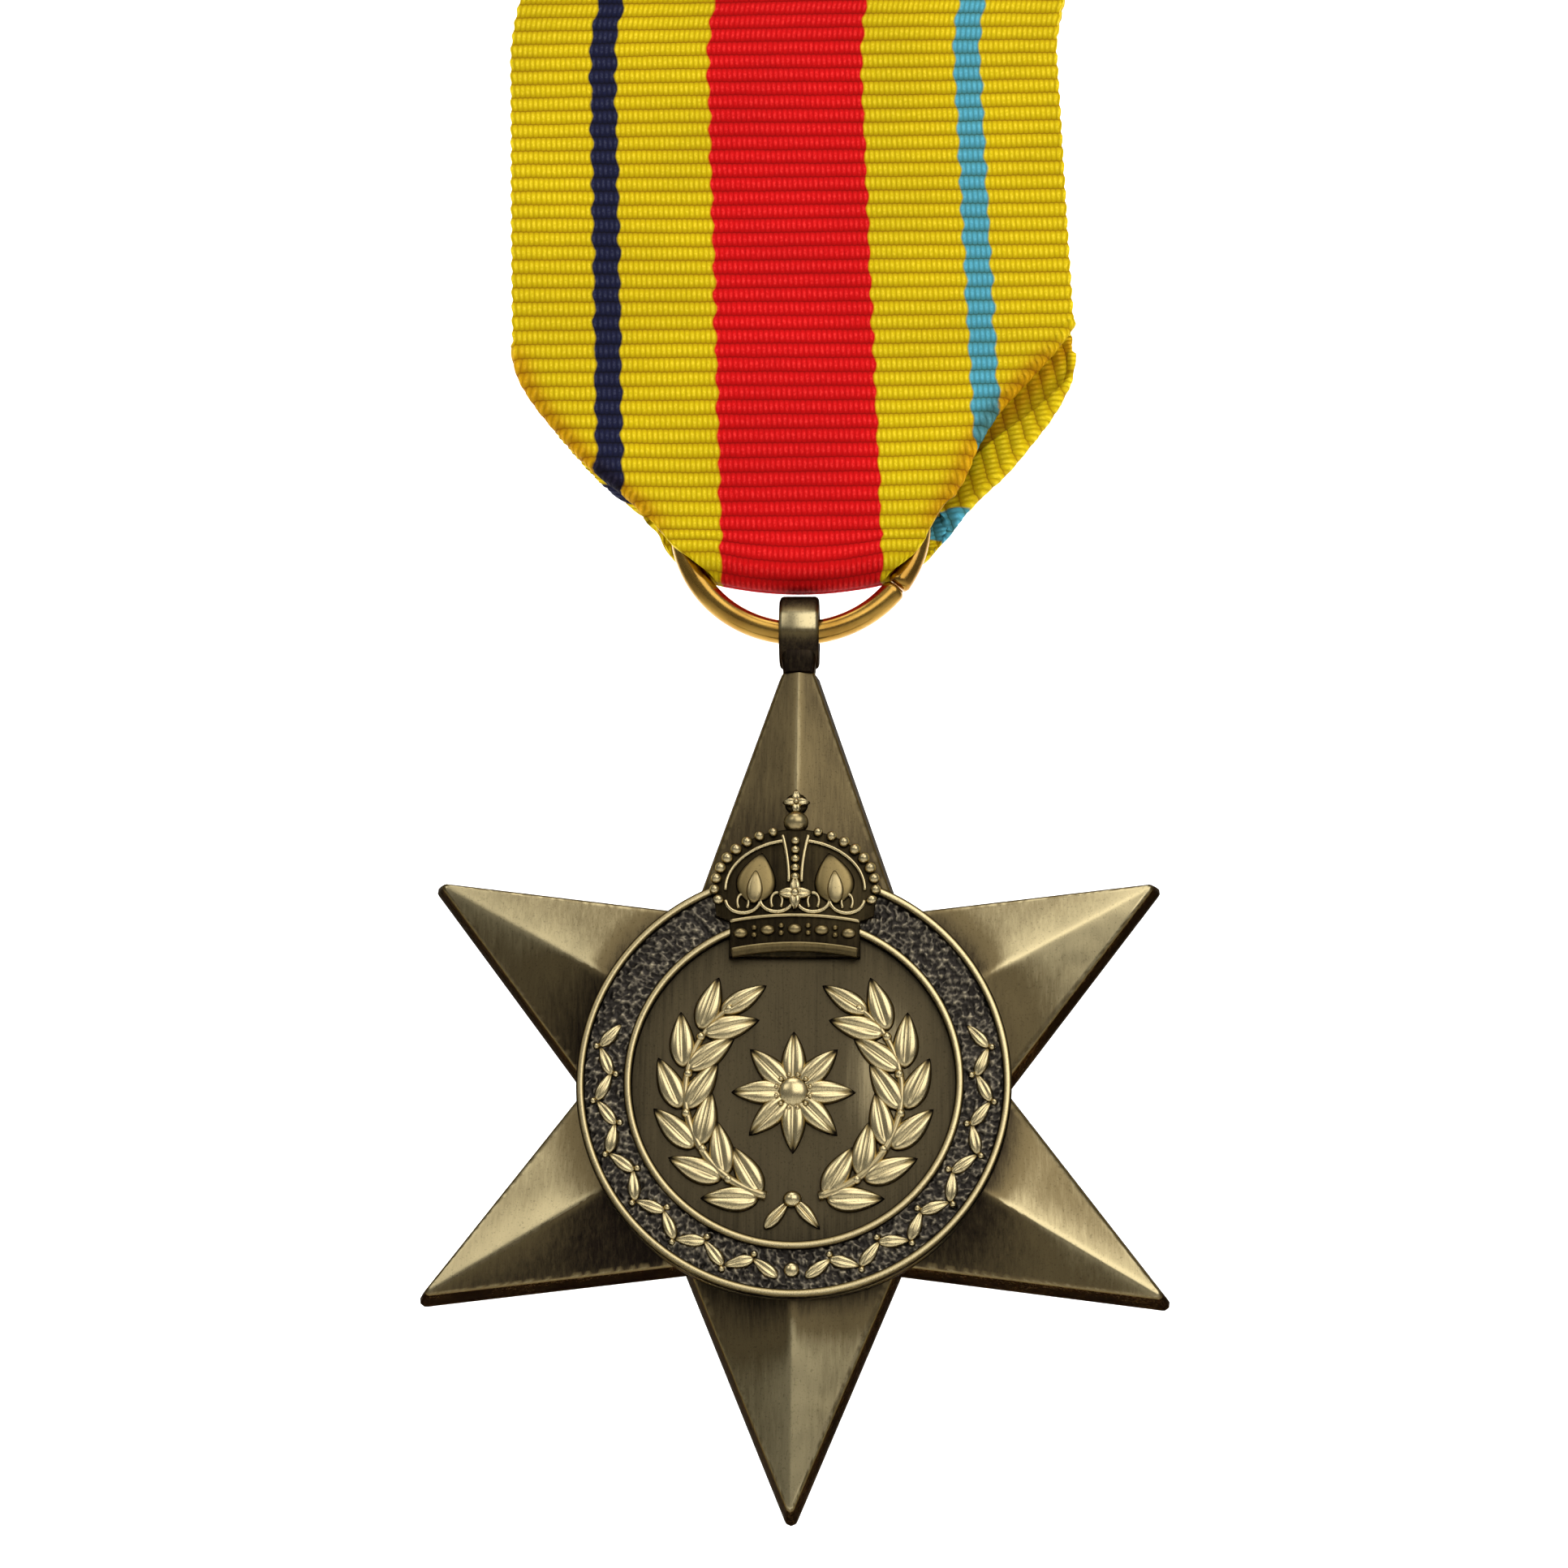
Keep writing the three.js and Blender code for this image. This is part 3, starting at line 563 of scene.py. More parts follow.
def ribbon():
    stations, length = ribbon_path()
    y, z, ny, nz, v = stations.T
    half = RIBBON_HALF
    dense = np.linspace(-half, half, 129)
    u = np.broadcast_to(dense, (len(v), len(dense)))
    side = np.sign(u)
    front = (ny < -0.5) & (np.abs(nz) < 0.5)
    rear = (ny > 0.5) & (z > FOLD_Z)
    # half widths to the left and right; the rear is tucked in a little on the left
    outline = curve_through(OUTLINE, z)
    tucked = 0.45 * window(z, (31, 33), (42, 44))
    left = np.where(rear, outline - tucked, outline)
    right = np.where(front, curve_through(RIGHT_FOLD, z), outline)
    tail = v < TAIL
    left, right = np.where(tail, half, left), np.where(tail, half, right)
    width = np.where(side < 0, left[:, None], right[:, None])
    # cloth past the half width turns back round a small bend and lies flat as a flap
    turned = smooth_step(width, 7.9, 9.2) * (width < half - 0.05)
    radius = BEND * np.maximum(turned, 0.05)
    over = np.abs(u) - (width - radius)
    angle = np.clip(over / radius, 0, math.pi * np.maximum(turned, 0.02))
    flap_room = np.maximum(width - 8.2, 0.05)
    flap = np.maximum(over - math.pi * radius, 0)
    flap = flap_room * (1 - np.exp(-flap / flap_room)) * (turned > 0.5)
    x = np.where(over > 0, (width - radius) + radius * np.sin(angle) - flap, np.abs(u)) * side
    x = np.where(np.abs(x) > width, width * side, x)
    depth = np.where(over > 0, radius * (1 - np.cos(angle)), 0)
    nx = np.where(over > 0, np.sin(angle), 0) * side
    nn = np.where(over > 0, np.cos(angle), 1)

    # the edge follows the cords, the panels wave and the shoulders bulge
    selvedge = 0.05 * np.sin(TAU * v / RIB)[:, None] * smooth_step(np.abs(u), half - 0.5, half)
    x = x + selvedge * side * (over <= 0)
    wave = (0.10 * np.sin(z * 0.21 + 0.4)[:, None] * np.sin(u * 0.13 + 1.0)
            + 0.07 * np.sin(z * 0.37 + 2)[:, None] * np.sin(u * 0.29))
    panel = smooth_step(z, FOLD_Z + 1, FOLD_Z + 6) * smooth_step(BAR_Z - z, 0.5, 5)
    shoulder = (np.exp(-(((z[:, None] - 37) / 5) ** 2))
                * smooth_step(np.abs(u) / np.maximum(width, 1), 0.45, 1))
    puff = (wave * panel[:, None] + 0.28 * shoulder) * ~tail[:, None]

    # the turned corner shows the cloth's other side and stands forward
    in_corner = rear[:, None] & (u > 0) & ((z > 31.2) & (z < 44.4))[:, None]
    in_corner &= x > curve_through(RIGHT_FOLD, z)[:, None] - 1.0
    mirrored_u, mirrored_v = corner_uv(x, np.broadcast_to(z[:, None], x.shape))
    plain_uv = np.stack([u, np.broadcast_to(v[:, None], u.shape)], -1)
    mirrored_uv = np.stack([mirrored_u, mirrored_v], -1)
    inner_uv = np.where(in_corner[..., None], mirrored_uv, plain_uv)
    outer_uv = np.where((in_corner & (over > 0))[..., None], mirrored_uv, plain_uv)
    forward = 0.95 * smooth_step(x, 7.5, 11.0) * window(z, (32, 35), (42.5, 45))[:, None]
    puff = puff - np.where(rear[:, None] & (u > 0), forward, 0)
    # the fold rounds off below, lowest in its middle
    bottom = smooth_step(FOLD_Z + 2.2 - z, 0, 2.2)[:, None]
    sag = bottom * (0.12 - 0.52 * np.minimum((u / 4.4) ** 2, 1.2))
    layers = []
    for sign, cloth_uv in ((1, outer_uv), (-1, inner_uv)):
        cord = CORD_RISE * np.abs(np.sin(math.pi * cloth_uv[..., 1] / RIB)) ** 0.7
        out = sign * (RIBBON_T / 2 + cord)
        lift = nn * out - depth + puff
        px = x + nx * out + lean(z)[:, None]
        py = y[:, None] + ny[:, None] * lift
        pz = z[:, None] + nz[:, None] * lift - sag
        layers.append(np.stack([px, py, pz], -1))
    outer, inner = layers
    section = np.concatenate([outer, inner[:, ::-1]], 1)
    section_uv = np.concatenate([outer_uv, inner_uv[:, ::-1]], 1)
    # shade along the turned edges and in the corner's valley
    near_edge = np.exp(-((np.maximum(width - np.abs(x) - 0.1, 0) / 0.75) ** 2))
    near_edge = near_edge * window(z, (30.5, 33), (41.5, 44))[:, None]
    valley = np.exp(-(((x - curve_through(RIGHT_FOLD, z)[:, None] - 0.3) / 0.6) ** 2)) * in_corner
    valley = valley * smooth_step(z, 33.5, 36)[:, None]
    outer_fold = np.where(rear[:, None], 0, 0.75 * near_edge)
    inner_fold = np.where(rear[:, None], 0.7 * valley, 0.75 * near_edge)
    section_fold = np.concatenate([outer_fold, inner_fold[:, ::-1]], 1)
    build = Build()
    build.grid(section, section_fold, close_u=True, caps=True)
    piece = add_mesh("ribbon", build.points, build.faces, "ribbon", CLOTH,
                     {"fold": build.wear_and_light}, section_uv.reshape(-1, 2))
    tidy_normals(piece, 0.0005)
    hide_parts("ribbon_front", "ribbon_rear", "ribbon_upper_loop", "ribbon_lower_fold")


ribbon()

# ---- Star ----

STAR = {"radius": 22.2, "notch": 11.0, "tip_round": 0.20, "neck": 23.3, "neck_flat": 1.7,
        "edge": -1.05, "apex": 2.14, "draft": 0.30}
HALF_STEP = math.radians(30)  # half the angle from one arm to the next
T_NOTCH = 0.36  # where the notches lie between an arm's centre (0) and its tip (1)
INNER_ROWS = 6  # rows from the centre to the notches
FACET_INSET = 0.13
BACK_INSET = 0.12 - STAR["draft"]
# The wall from the front edge to the back: (inset, y or None for the facet's edge, wear).
STAR_WALL = [
    (FACET_INSET, None, 0.6), (0.06, STAR["edge"] + 0.02, 0.55), (0.01, STAR["edge"] + 0.09, 0.35),
    (0.0, STAR["edge"] + 0.2, 0.12), (-0.4 * STAR["draft"], -0.35, 0.08),
    (-0.8 * STAR["draft"], 0.35, 0.06), (-STAR["draft"], STAR_BACK - 0.16, 0.1),
    (0.04 - STAR["draft"], STAR_BACK - 0.05, 0.35), (BACK_INSET, STAR_BACK, 0.4),
]
# Painted light and shade on each arm's two halves, from the top arm anticlockwise: each half lighter or
# darker as the light falls on it.
HALF_LIGHT_SHADE = [(-0.05, 0.0), (-0.02, 0.0), (0.08, -0.42), (0.08, 0.14), (-0.15, -0.15), (0.22, 0.02)]
# The same painted light and shade, for the ends of the halves beside the medallion.
HALF_LIGHT_SHADE_INSIDE = [(0.0, 0.0), (0.0, 0.0), (0.30, -0.07), (0.0, 0.0), (0.0, 0.0), (0.20, 0.0)]


def facet_wear_and_light(radius, across, edge_gap, facing, dim, extra, inside):
    """Dark beside the medallion, worn bright on the ridge, along the edge and towards the tip.

    Halves that face up and to the right get painted light: they are brighter, and bright closer to the
    medallion.
    """
    from_rim = smooth_step(radius, DISC_RADIUS - 0.3, DISC_RADIUS + 4.2 - 2.2 * facing)
    face = 0.14 + inside * (1 - from_rim) + (0.48 + 0.08 * facing + extra) * dim * from_rim
    ridge = 0.34 * np.exp(-(across / 0.22) ** 2) * smooth_step(radius, DISC_RADIUS - 1, 13)
    beside_ridge = 0.22 * dim * np.exp(-(across / 1.2) ** 2) * from_rim
    along_edge = (0.14 + 0.08 * facing) * np.exp(-(edge_gap / 0.20) ** 2)
    return face + ridge + beside_ridge + along_edge


def star_arm(build, direction, neck, half_light_shade, half_light_shade_inside):
    """One arm as two mirrored halves, from the centre to the tip, with its wall and back."""
    notch_side = STAR["notch"] * math.sin(HALF_STEP)
    notch_along = STAR["notch"] * math.cos(HALF_STEP)
    ball = STAR["tip_round"]
    if neck:
        flat = STAR["neck_flat"] / 2
        slope = (notch_side - flat) / (STAR["neck"] - notch_along)
        reach = STAR["neck"] + flat / slope
    else:
        reach = STAR["radius"] + 0.6 * ball
        for _ in range(8):
            slope = notch_side / (reach - notch_along)
            reach = STAR["radius"] - ball + ball / math.sin(math.atan(slope))
    beta = math.atan(slope)

    def outline(inset, t):
        """Along and across distances of the outline moved outward by -inset, at parameter t."""
        far = reach - inset / math.sin(beta)
        corner = far * math.tan(beta) / (math.tan(HALF_STEP) + math.tan(beta))
        if neck:
            end, rounding = STAR["neck"] - inset * 0.5, 0.0
        else:
            rounding = ball - 0.5 * inset
            end = far - rounding / math.sin(beta) + rounding
        inner = t * corner / T_NOTCH
        outer = corner + (end - corner) * (t - T_NOTCH) / (1 - T_NOTCH)
        along = np.where(t < T_NOTCH, inner, outer)
        across = np.minimum(along * math.tan(HALF_STEP), (far - along) * math.tan(beta))
        if not neck:
            centre = end - rounding
            on_ball = along > centre + rounding * math.sin(beta)
            arc = np.sqrt(np.maximum(rounding**2 - (along - centre) ** 2, 0))
            across = np.where(on_ball, arc, across)
        return along, np.maximum(across, 0)

    def gap_to_edge(along, across):
        return (reach - along) * math.sin(beta) - across * math.cos(beta)

    t = np.concatenate([
        np.linspace(0, T_NOTCH, INNER_ROWS + 1)[:-1],
        T_NOTCH + (1 - T_NOTCH) * (1 - (1 - np.linspace(0, 1, 64)) ** 1.15),
    ])
    q = np.linspace(0, 1, 22)[None, :] ** 1.35

    def fill(inset):
        """Along and across distances of a grid over half of the outline."""
        along, across = outline(inset, t)
        return along[:, None] * np.ones_like(q), across[:, None] * q

    def turn(along, across, y, side):
        a = direction
        x = along * math.cos(a) + side * across * math.sin(a)
        z = along * math.sin(a) - side * across * math.cos(a)
        return np.stack([x, y, z], -1)

    for side, extra, inside in zip((1, -1), half_light_shade, half_light_shade_inside):
        along, across = fill(FACET_INSET)
        soft = np.sqrt(across**2 + 0.09**2) - 0.03
        rise = STAR["apex"] * (1 - along / reach - soft / (reach * math.tan(beta)))
        rise = np.maximum(rise, 0.015)
        y = np.maximum(STAR["edge"] - rise, -2.1)
        radius = np.hypot(along, across)
        edge_gap = gap_to_edge(along, across)
        # how far this half faces up and to the right: painted light makes such halves brighter
        facing = side * (0.35 * math.sin(direction) - 0.94 * math.cos(direction))
        wear_and_light = facet_wear_and_light(radius, across, edge_gap, facing, 0.25 if neck else 1.0, extra, inside)
        build.grid(turn(along, across, y, side), wear_and_light)

        walls, wear_and_light = [], []
        for inset, level, lit in STAR_WALL:
            along, across = outline(inset, t[INNER_ROWS:])
            height = y[INNER_ROWS:, -1] if level is None else np.full_like(along, level)
            walls.append(turn(along, across, height, side))
            wear_and_light.append(np.full_like(along, lit))
        build.grid(np.array(walls), np.array(wear_and_light))

        along, across = fill(BACK_INSET)
        back = turn(along, across, np.full_like(along, STAR_BACK), side)
        polish = 0.36 + 0.18 * noise_values(back, 0.13, 3).reshape(back.shape[:2])
        edge_gap = gap_to_edge(along, across) + STAR["draft"]
        build.grid(back, polish + 0.22 * np.exp(-(edge_gap / 0.6) ** 2))
    if neck:
        # the blunt end under the loop
        s = np.linspace(-1, 1, 9)
        ends = []
        for inset, level, _ in STAR_WALL:
            along, across = outline(inset, np.array([1.0]))
            height = STAR["edge"] - 0.2 if level is None else level
            ends.append(turn(np.full_like(s, along[0]), across[0] * s, np.full_like(s, height), 1))
        build.grid(np.array(ends), 0.4)


def star():
    build = Build()
    for arm, (half_light_shade, half_light_shade_inside) in enumerate(zip(HALF_LIGHT_SHADE, HALF_LIGHT_SHADE_INSIDE)):
        star_arm(build, math.radians(90 + 60 * arm), arm == 0, half_light_shade, half_light_shade_inside)
    points = np.array(build.points)
    ripple = noise_values(points, 0.45) * 0.02
    facing = points[:, 1] < STAR["edge"] - 0.05
    points[:, 1] += np.where(facing, ripple, 0)
    build.points = points.tolist()
    piece = build.make("star_faceted", "star", "star_bronze", STAR_BRONZE, merge=0.004)
    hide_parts("star_body")


star()

# ---- Medallion ----

BAND = {"inner": 8.95, "outer": 11.05, "floor": -2.40}
RIM_WIDTH = 0.46


def medallion():
    build = Build()
    r = DISC_RADIUS
    profile = [(0.001, DISC_FRONT), *[(x, DISC_FRONT) for x in np.linspace(0.4, 8.9, 22)],
               (r - 0.25, DISC_FRONT), (r - 0.08, DISC_FRONT + 0.02), (r, DISC_FRONT + 0.1),
               (r, -1.3), (r - 0.05, -1.12), (0.001, -1.12)]
    wear_and_light = [0.40] * 23 + [0.2, 0.5, 0.35, 0.1, 0.1, 0.1]
    lathe(build, profile, wear_and_light)
    points = np.array(build.points)
    worn = np.exp(-(((points[:, 0] - 4.6) / 1.5) ** 2) - ((points[:, 2] - 0.8) / 3.4) ** 2)
    rim_dark = smooth_step(np.hypot(points[:, 0], points[:, 2]), 6.5, 8.6) * 0.12
    field = (np.hypot(points[:, 0], points[:, 2]) < 8.6) & (points[:, 1] < -2)
    build.wear_and_light = np.where(field, np.array(build.wear_and_light) + 0.5 * worn - rim_dark, build.wear_and_light).tolist()
    piece = build.make("medallion_field", "star", "dark_bronze", FIELD_BRONZE)
    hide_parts("medallion_disc")


def bright_relief(build, name):
    return build.make(name, "star", "bright_bronze", RELIEF_BRONZE, merge=0.0005)


def rim(name, node):
    """A raised rim with a flat worn top and rounded, darker sides."""
    build = Build()
    outer = node_box(node)[1][0] - 0.02
    inner = outer - RIM_WIDTH
    front, foot, soft = RIM_FRONT, DISC_FRONT + 0.05, 0.16
    profile, wear_and_light = [(inner, foot)], [0.05]
    for wall, inward, steps in ((inner, 1, (0, 1, 2, 3, 4)), (outer, -1, (4, 3, 2, 1, 0))):
        for step in steps:
            a = math.pi / 2 * step / 4
            profile.append((wall + inward * soft * (1 - math.cos(a)), front + soft * (1 - math.sin(a))))
            wear_and_light.append(0.05 + 0.9 * (step / 4) ** 4)
    profile.append((outer, foot))
    wear_and_light.append(0.05)
    lathe(build, profile, wear_and_light, turns=360)
    piece = build.make(name, "star", "bright_bronze", RELIEF_BRONZE)
    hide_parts(node)


def circlet_band():
    """The blackened, crinkled floor between the rims and the small leaves and pellets on it."""
    build = Build()
    turns, rings = 1100, 30
    angle = np.linspace(0, TAU, turns, endpoint=False)[:, None]
    r = np.linspace(BAND["inner"], BAND["outer"], rings)[None, :]
    x, z = r * np.cos(angle), r * np.sin(angle)
    flat = np.stack([x, np.zeros_like(x), z], -1)
    crinkle = noise_values(flat, 3.6, 3)
    ridged = 1 - np.abs(noise_values(flat + 7.3, 2.6)) * 2.2
    height = (0.085 * crinkle + 0.07 * ridged).reshape(x.shape)
    y = BAND["floor"] - height
    wear_and_light = smooth_step(height, 0.01, 0.13) * 0.9
    build.grid(np.stack([x, y, z], -1), wear_and_light, close_v=True)
    middle = (BAND["inner"] + BAND["outer"]) / 2
    leaves, first, sweep = 13, 8, 96  # the last two in degrees

    def garland_angle(side, step):
        return math.radians(-90 + side * (first + step * sweep / (leaves - 1)))

    relief = Build()
    for i in range(leaves):
        for side in (-1, 1):
            along = garland_angle(side, i)
            tilt = side * (0.5 if i % 2 == 0 else -0.5)
            base = (middle * math.cos(along), BAND["floor"] + 0.05, middle * math.sin(along))
            leaf(relief, base, along + math.pi / 2 + tilt + (math.pi if side < 0 else 0),
                 1.75, 0.80, 0.36, groove=0.15)
    for i in range(leaves - 1):
        for side in (-1, 1):
            along = garland_angle(side, i + 0.5)
            radius = middle + (0.62 if i % 2 else -0.62)
            bead(relief, (radius * math.cos(along), BAND["floor"] - 0.02, radius * math.sin(along)),
                 (0.20, 0.26, 0.20), sides=14, rows=9)
    bead(relief, (0, BAND["floor"] - 0.02, -middle), (0.42, 0.3, 0.42))
    floor = build.make("circlet_floor", "star", "dark_bronze", BAND_BRONZE)
    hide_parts("circlet_band")
    bright_relief(relief, "circlet_garland")


medallion()
rim("circlet_rim_outer", "circlet_outer_rim")
rim("circlet_rim_inner", "circlet_inner_rim")
circlet_band()

# ---- Emblem in the field ----

WREATH = {"radius": 5.7, "z": -0.6, "from": -76, "to": 52, "stations": 6}


def laurel(side):
    build = Build()
    start, end = math.radians(WREATH["from"]), math.radians(WREATH["to"])

    def at(angle, radius, y=DISC_FRONT):
        return (side * radius * math.cos(angle), y, WREATH["z"] + radius * math.sin(angle))

    stem = [at(a, WREATH["radius"], DISC_FRONT - 0.12) for a in np.linspace(start, end, 40)]
    tube(build, stem, np.linspace(0.26, 0.16, 40), 0.8, sides=10)
    for i in range(WREATH["stations"]):
        angle = start + (end - start) * (i + 0.75) / WREATH["stations"]
        for outward in (-1, 1):
            base = at(angle, WREATH["radius"] + outward * 0.86)
            tangent = angle + math.pi / 2 - outward * 0.5
            leaf(build, base, tangent if side > 0 else math.pi - tangent, 3.1, 1.5, 0.44)
        berry = at(angle + 0.10, WREATH["radius"] + 0.05 * (-1) ** i, DISC_FRONT - 0.16)
        bead(build, berry, (0.26, 0.26, 0.26), sides=14, rows=9)
    tip = at(end + 0.17, WREATH["radius"])
    tangent = end + math.pi / 2 + 0.1
    leaf(build, tip, tangent if side > 0 else math.pi - tangent, 2.9, 1.3, 0.44)
    name = "laurel_branch_right" if side > 0 else "laurel_branch_left"
    piece = bright_relief(build, name)
    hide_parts("laurel_right" if side > 0 else "laurel_left")


def rosette():
    build = Build()
    petals(build, 8, DISC_FRONT, WREATH["z"], 1.82, (2.95, 1.46, 0.44), groove=0.3)
    bead(build, (0, DISC_FRONT - 0.1, WREATH["z"]), (0.88, 0.5, 0.88))
    for i in range(12):
        angle = TAU * (i + 0.5) / 12
        stamen = (0.92 * math.cos(angle), DISC_FRONT - 0.32, WREATH["z"] + 0.92 * math.sin(angle))
        bead(build, stamen, (0.14, 0.16, 0.14), sides=10, rows=7)
    piece = bright_relief(build, "rosette_relief")
    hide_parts("centre_rosette")


def tie():
    build = Build()
    z = WREATH["z"] - WREATH["radius"]
    bead(build, (0, DISC_FRONT - 0.12, z), (0.5, 0.42, 0.45))
    for side in (-1, 1):
        leaf(build, (side * 0.80, DISC_FRONT, z - 0.82), -side * 0.85, 2.0, 0.8, 0.36, groove=0.3)
    piece = bright_relief(build, "wreath_bow")
    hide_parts("wreath_tie")


for branch in (-1, 1):
    laurel(branch)
rosette()
tie()

# ---- Crown ----

CROWN = {"low": 6.7, "half": 3.45, "shoulder": 9.4, "arch_half": 4.35, "arch_top": 13.7, "orb": 14.2}
CROWN_Y = -2.95  # where the crown's relief stands


def arch_point(side, t, inset):
    """A point of one arch, from its foot (t = 0) to the top (t = 1), set in from the outline."""
    angle = t * math.pi / 2
    foot = CROWN["shoulder"] + 0.9
    return (side * (CROWN["arch_half"] - inset) * math.cos(angle), CROWN_Y,
            foot + (CROWN["arch_top"] - inset - foot) * math.sin(angle))


def crown_body(build):
    """The dark body behind the relief, with rounded edges."""
    low, half = CROWN["low"], CROWN["half"]
    rows = []
    for level, grow in ((-1.9, 0.05), (CROWN_Y + 0.24, 0.05), (CROWN_Y + 0.14, -0.02),
                        (CROWN_Y + 0.1, -0.14)):
        loop = [arch_point(1, t, -grow) for t in np.linspace(0, 1, 24)]
        loop += [arch_point(-1, t, -grow) for t in np.linspace(1, 0, 24)]
        loop += [(-half - 0.75, 0, low + 2.2), (-half - grow, 0, low + 1.9), (-half - grow, 0, low - grow),
                 (half + grow, 0, low - grow), (half + grow, 0, low + 1.9), (half + 0.75, 0, low + 2.2)]
        rows.append([(x, level, z) for x, _, z in loop])
    build.grid(np.array(rows), 0.07, close_u=True, caps=True)


def crown_band(build):
    """The bowed band: a lower bar with a bright line, jewels with paired pearls, an upper line."""
    low, half = CROWN["low"], CROWN["half"]

    def bow(x):
        return 0.34 * (1 - (x / half) ** 2) - 0.12

    across = np.linspace(-half, half, 50)
    tube(build, [(x * 0.97, CROWN_Y + 0.06, low + 0.24 + bow(x)) for x in across], 0.27, 0.20, sides=14)
    tube(build, [(x * 0.97, CROWN_Y - 0.12, low + 0.43 + bow(x)) for x in across], 0.06, 0.60, sides=8)
    tube(build, [(x, CROWN_Y - 0.02, low + 1.98 + bow(x)) for x in across], 0.10, 0.75, sides=12)
    gems, pitch = 5, 1.44
    for i in range(gems):
        x = (i - (gems - 1) / 2) * pitch
        bead(build, (x, CROWN_Y + 0.02, low + 1.22 + bow(x)), (0.40, 0.30, 0.29), wear_and_light=0.60)
        if i < gems - 1:
            for lift in (-0.2, 0.2):
                pearl = (x + pitch / 2, CROWN_Y + 0.02, low + 1.22 + lift + bow(x + pitch / 2))
                bead(build, pearl, (0.17, 0.2, 0.16), wear_and_light=0.42, sides=12, rows=8)


def crown_side(build, side):
    """One side's arch with its pearls, its half of the middle arch, and the cap below."""
    shoulder = CROWN["shoulder"]
    pearls = 8
    tube(build, [arch_point(side, t, 0.62) for t in np.linspace(0, 0.90, 44)], 0.10, 0.9, sides=10)
    for i in range(pearls):
        x, y, z = arch_point(side, (i + 0.05) / pearls * 0.93, 0.04)
        size = 0.26 + 0.06 * math.sin(math.pi * (i + 1) / pearls)
        bead(build, (x, y + 0.04, z), (size, 0.32, size), wear_and_light=0.85, sides=16, rows=10)
    foot = arch_point(side, 0, 0.25)
    bead(build, (foot[0], CROWN_Y, foot[2] - 0.55), (0.30, 0.3, 0.27))
    # flaring edge of the middle arch
    middle = [(side * (0.34 + 0.36 * t**2), CROWN_Y - 0.03, shoulder + 1.35 + 2.6 * t)
              for t in np.linspace(0, 1, 24)]
    tube(build, middle, 0.11, 0.9, sides=10)
    # domed lobe of the cap: painted shade on the ogee above, a painted highlight on the belly below
    leaf(build, (side * 2.05, CROWN_Y + 0.04, shoulder + 1.55), math.pi / 2 + side * 0.18,
         2.9, 2.3, 0.26, wear_and_light=0.42, groove=0.0)
    leaf(build, (side * 2.15, CROWN_Y - 0.12, shoulder + 1.05), math.pi / 2 + side * 0.05,
         1.9, 1.0, 0.24, wear_and_light=0.68, groove=0.0)
    # scalloped foot of the cap, with small loops standing in it
    for centre, radius, drop in ((0.98, 0.90, 0.0), (2.78, 0.92, -0.06)):
        scallop = [(side * (centre + radius * math.cos(a)), CROWN_Y - 0.05,
                    shoulder + 0.42 + drop + 0.82 * radius * math.sin(a))
                   for a in np.linspace(math.pi * 1.02, math.pi * 1.98, 26)]
        tube(build, scallop, 0.105, 1.0, sides=10)
        hoop = [(side * (centre + 0.30 * math.cos(a)), CROWN_Y - 0.03,
                 shoulder + 0.28 + drop + 0.46 * math.sin(a))
                for a in np.linspace(-0.25 * math.pi, 1.25 * math.pi, 22)]
        tube(build, hoop, 0.085, 0.85, sides=8)


def crown_middle(build):
    """Pearls down the middle arch and the flower at its foot."""
    shoulder = CROWN["shoulder"]
    for i in range(5):
        pearl = (0, CROWN_Y - 0.06, shoulder + 1.62 + i * 0.50)
        bead(build, pearl, (0.24, 0.26, 0.24), sides=14, rows=9)
    flower = shoulder + 0.70
    petals(build, 4, CROWN_Y - 0.05, flower, 0.46, (0.98, 0.70, 0.3), groove=0.25)
    bead(build, (0, CROWN_Y - 0.22, flower), (0.24, 0.24, 0.24))


def crown_finial(build):
    """The orb, its stem and the small flower, which lie on the star's upper arm."""
    bead(build, (0, -2.5, CROWN["orb"]), (0.68, 0.62, 0.62), wear_and_light=0.7)
    tube(build, [(0, -2.3, z) for z in np.linspace(12.9, 15.0, 10)], 0.24, 0.3, sides=12)
    tip = CROWN["orb"] + 1.15
    bead(build, (0, -2.1, tip), (0.64, 0.40, 0.60), wear_and_light=0.15)
    petals(build, 4, -2.38, tip, 0.37, (0.78, 0.56, 0.36), groove=0.2, rows=12, columns=11)
    bead(build, (0, -2.66, tip), (0.15, 0.16, 0.15), sides=12, rows=8)


def crown():
    """A plain arched crown: pearled arches over a domed cap, scalloped foot and jewelled band."""
    build = Build()
    crown_body(build)
    crown_band(build)
    for side in (-1, 1):
        crown_side(build, side)
    crown_middle(build)
    crown_finial(build)
    piece = bright_relief(build, "crown_relief")
    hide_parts("crown")


crown()

# ---- Ring and loop ----


def ring():
    """Round gilt wire, butted at the lower right, very slightly out of true."""
    build = Build()
    seam = math.radians(-36)
    gap = 0.012
    angle = np.linspace(seam + gap, seam + TAU - gap, 220)
    sway = 0.04 * np.sin(2 * angle + 0.6)
    path = np.stack([(RING_RADIUS + sway) * np.cos(angle), 0 * angle,
                     RING_Z + (RING_RADIUS + sway) * np.sin(angle)], -1)
    end = np.minimum(angle - angle[0], angle[-1] - angle) * RING_RADIUS
    radius = WIRE_RADIUS * (1 - 0.18 * np.exp(-((end / 0.10) ** 2)))
    tube(build, path, radius, 1.0, sides=28)
    piece = build.make("split_ring", "ring", "ring_gilt", GILT)
    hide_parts("suspension_ring")


ring()


LOOP_FACETS = 12
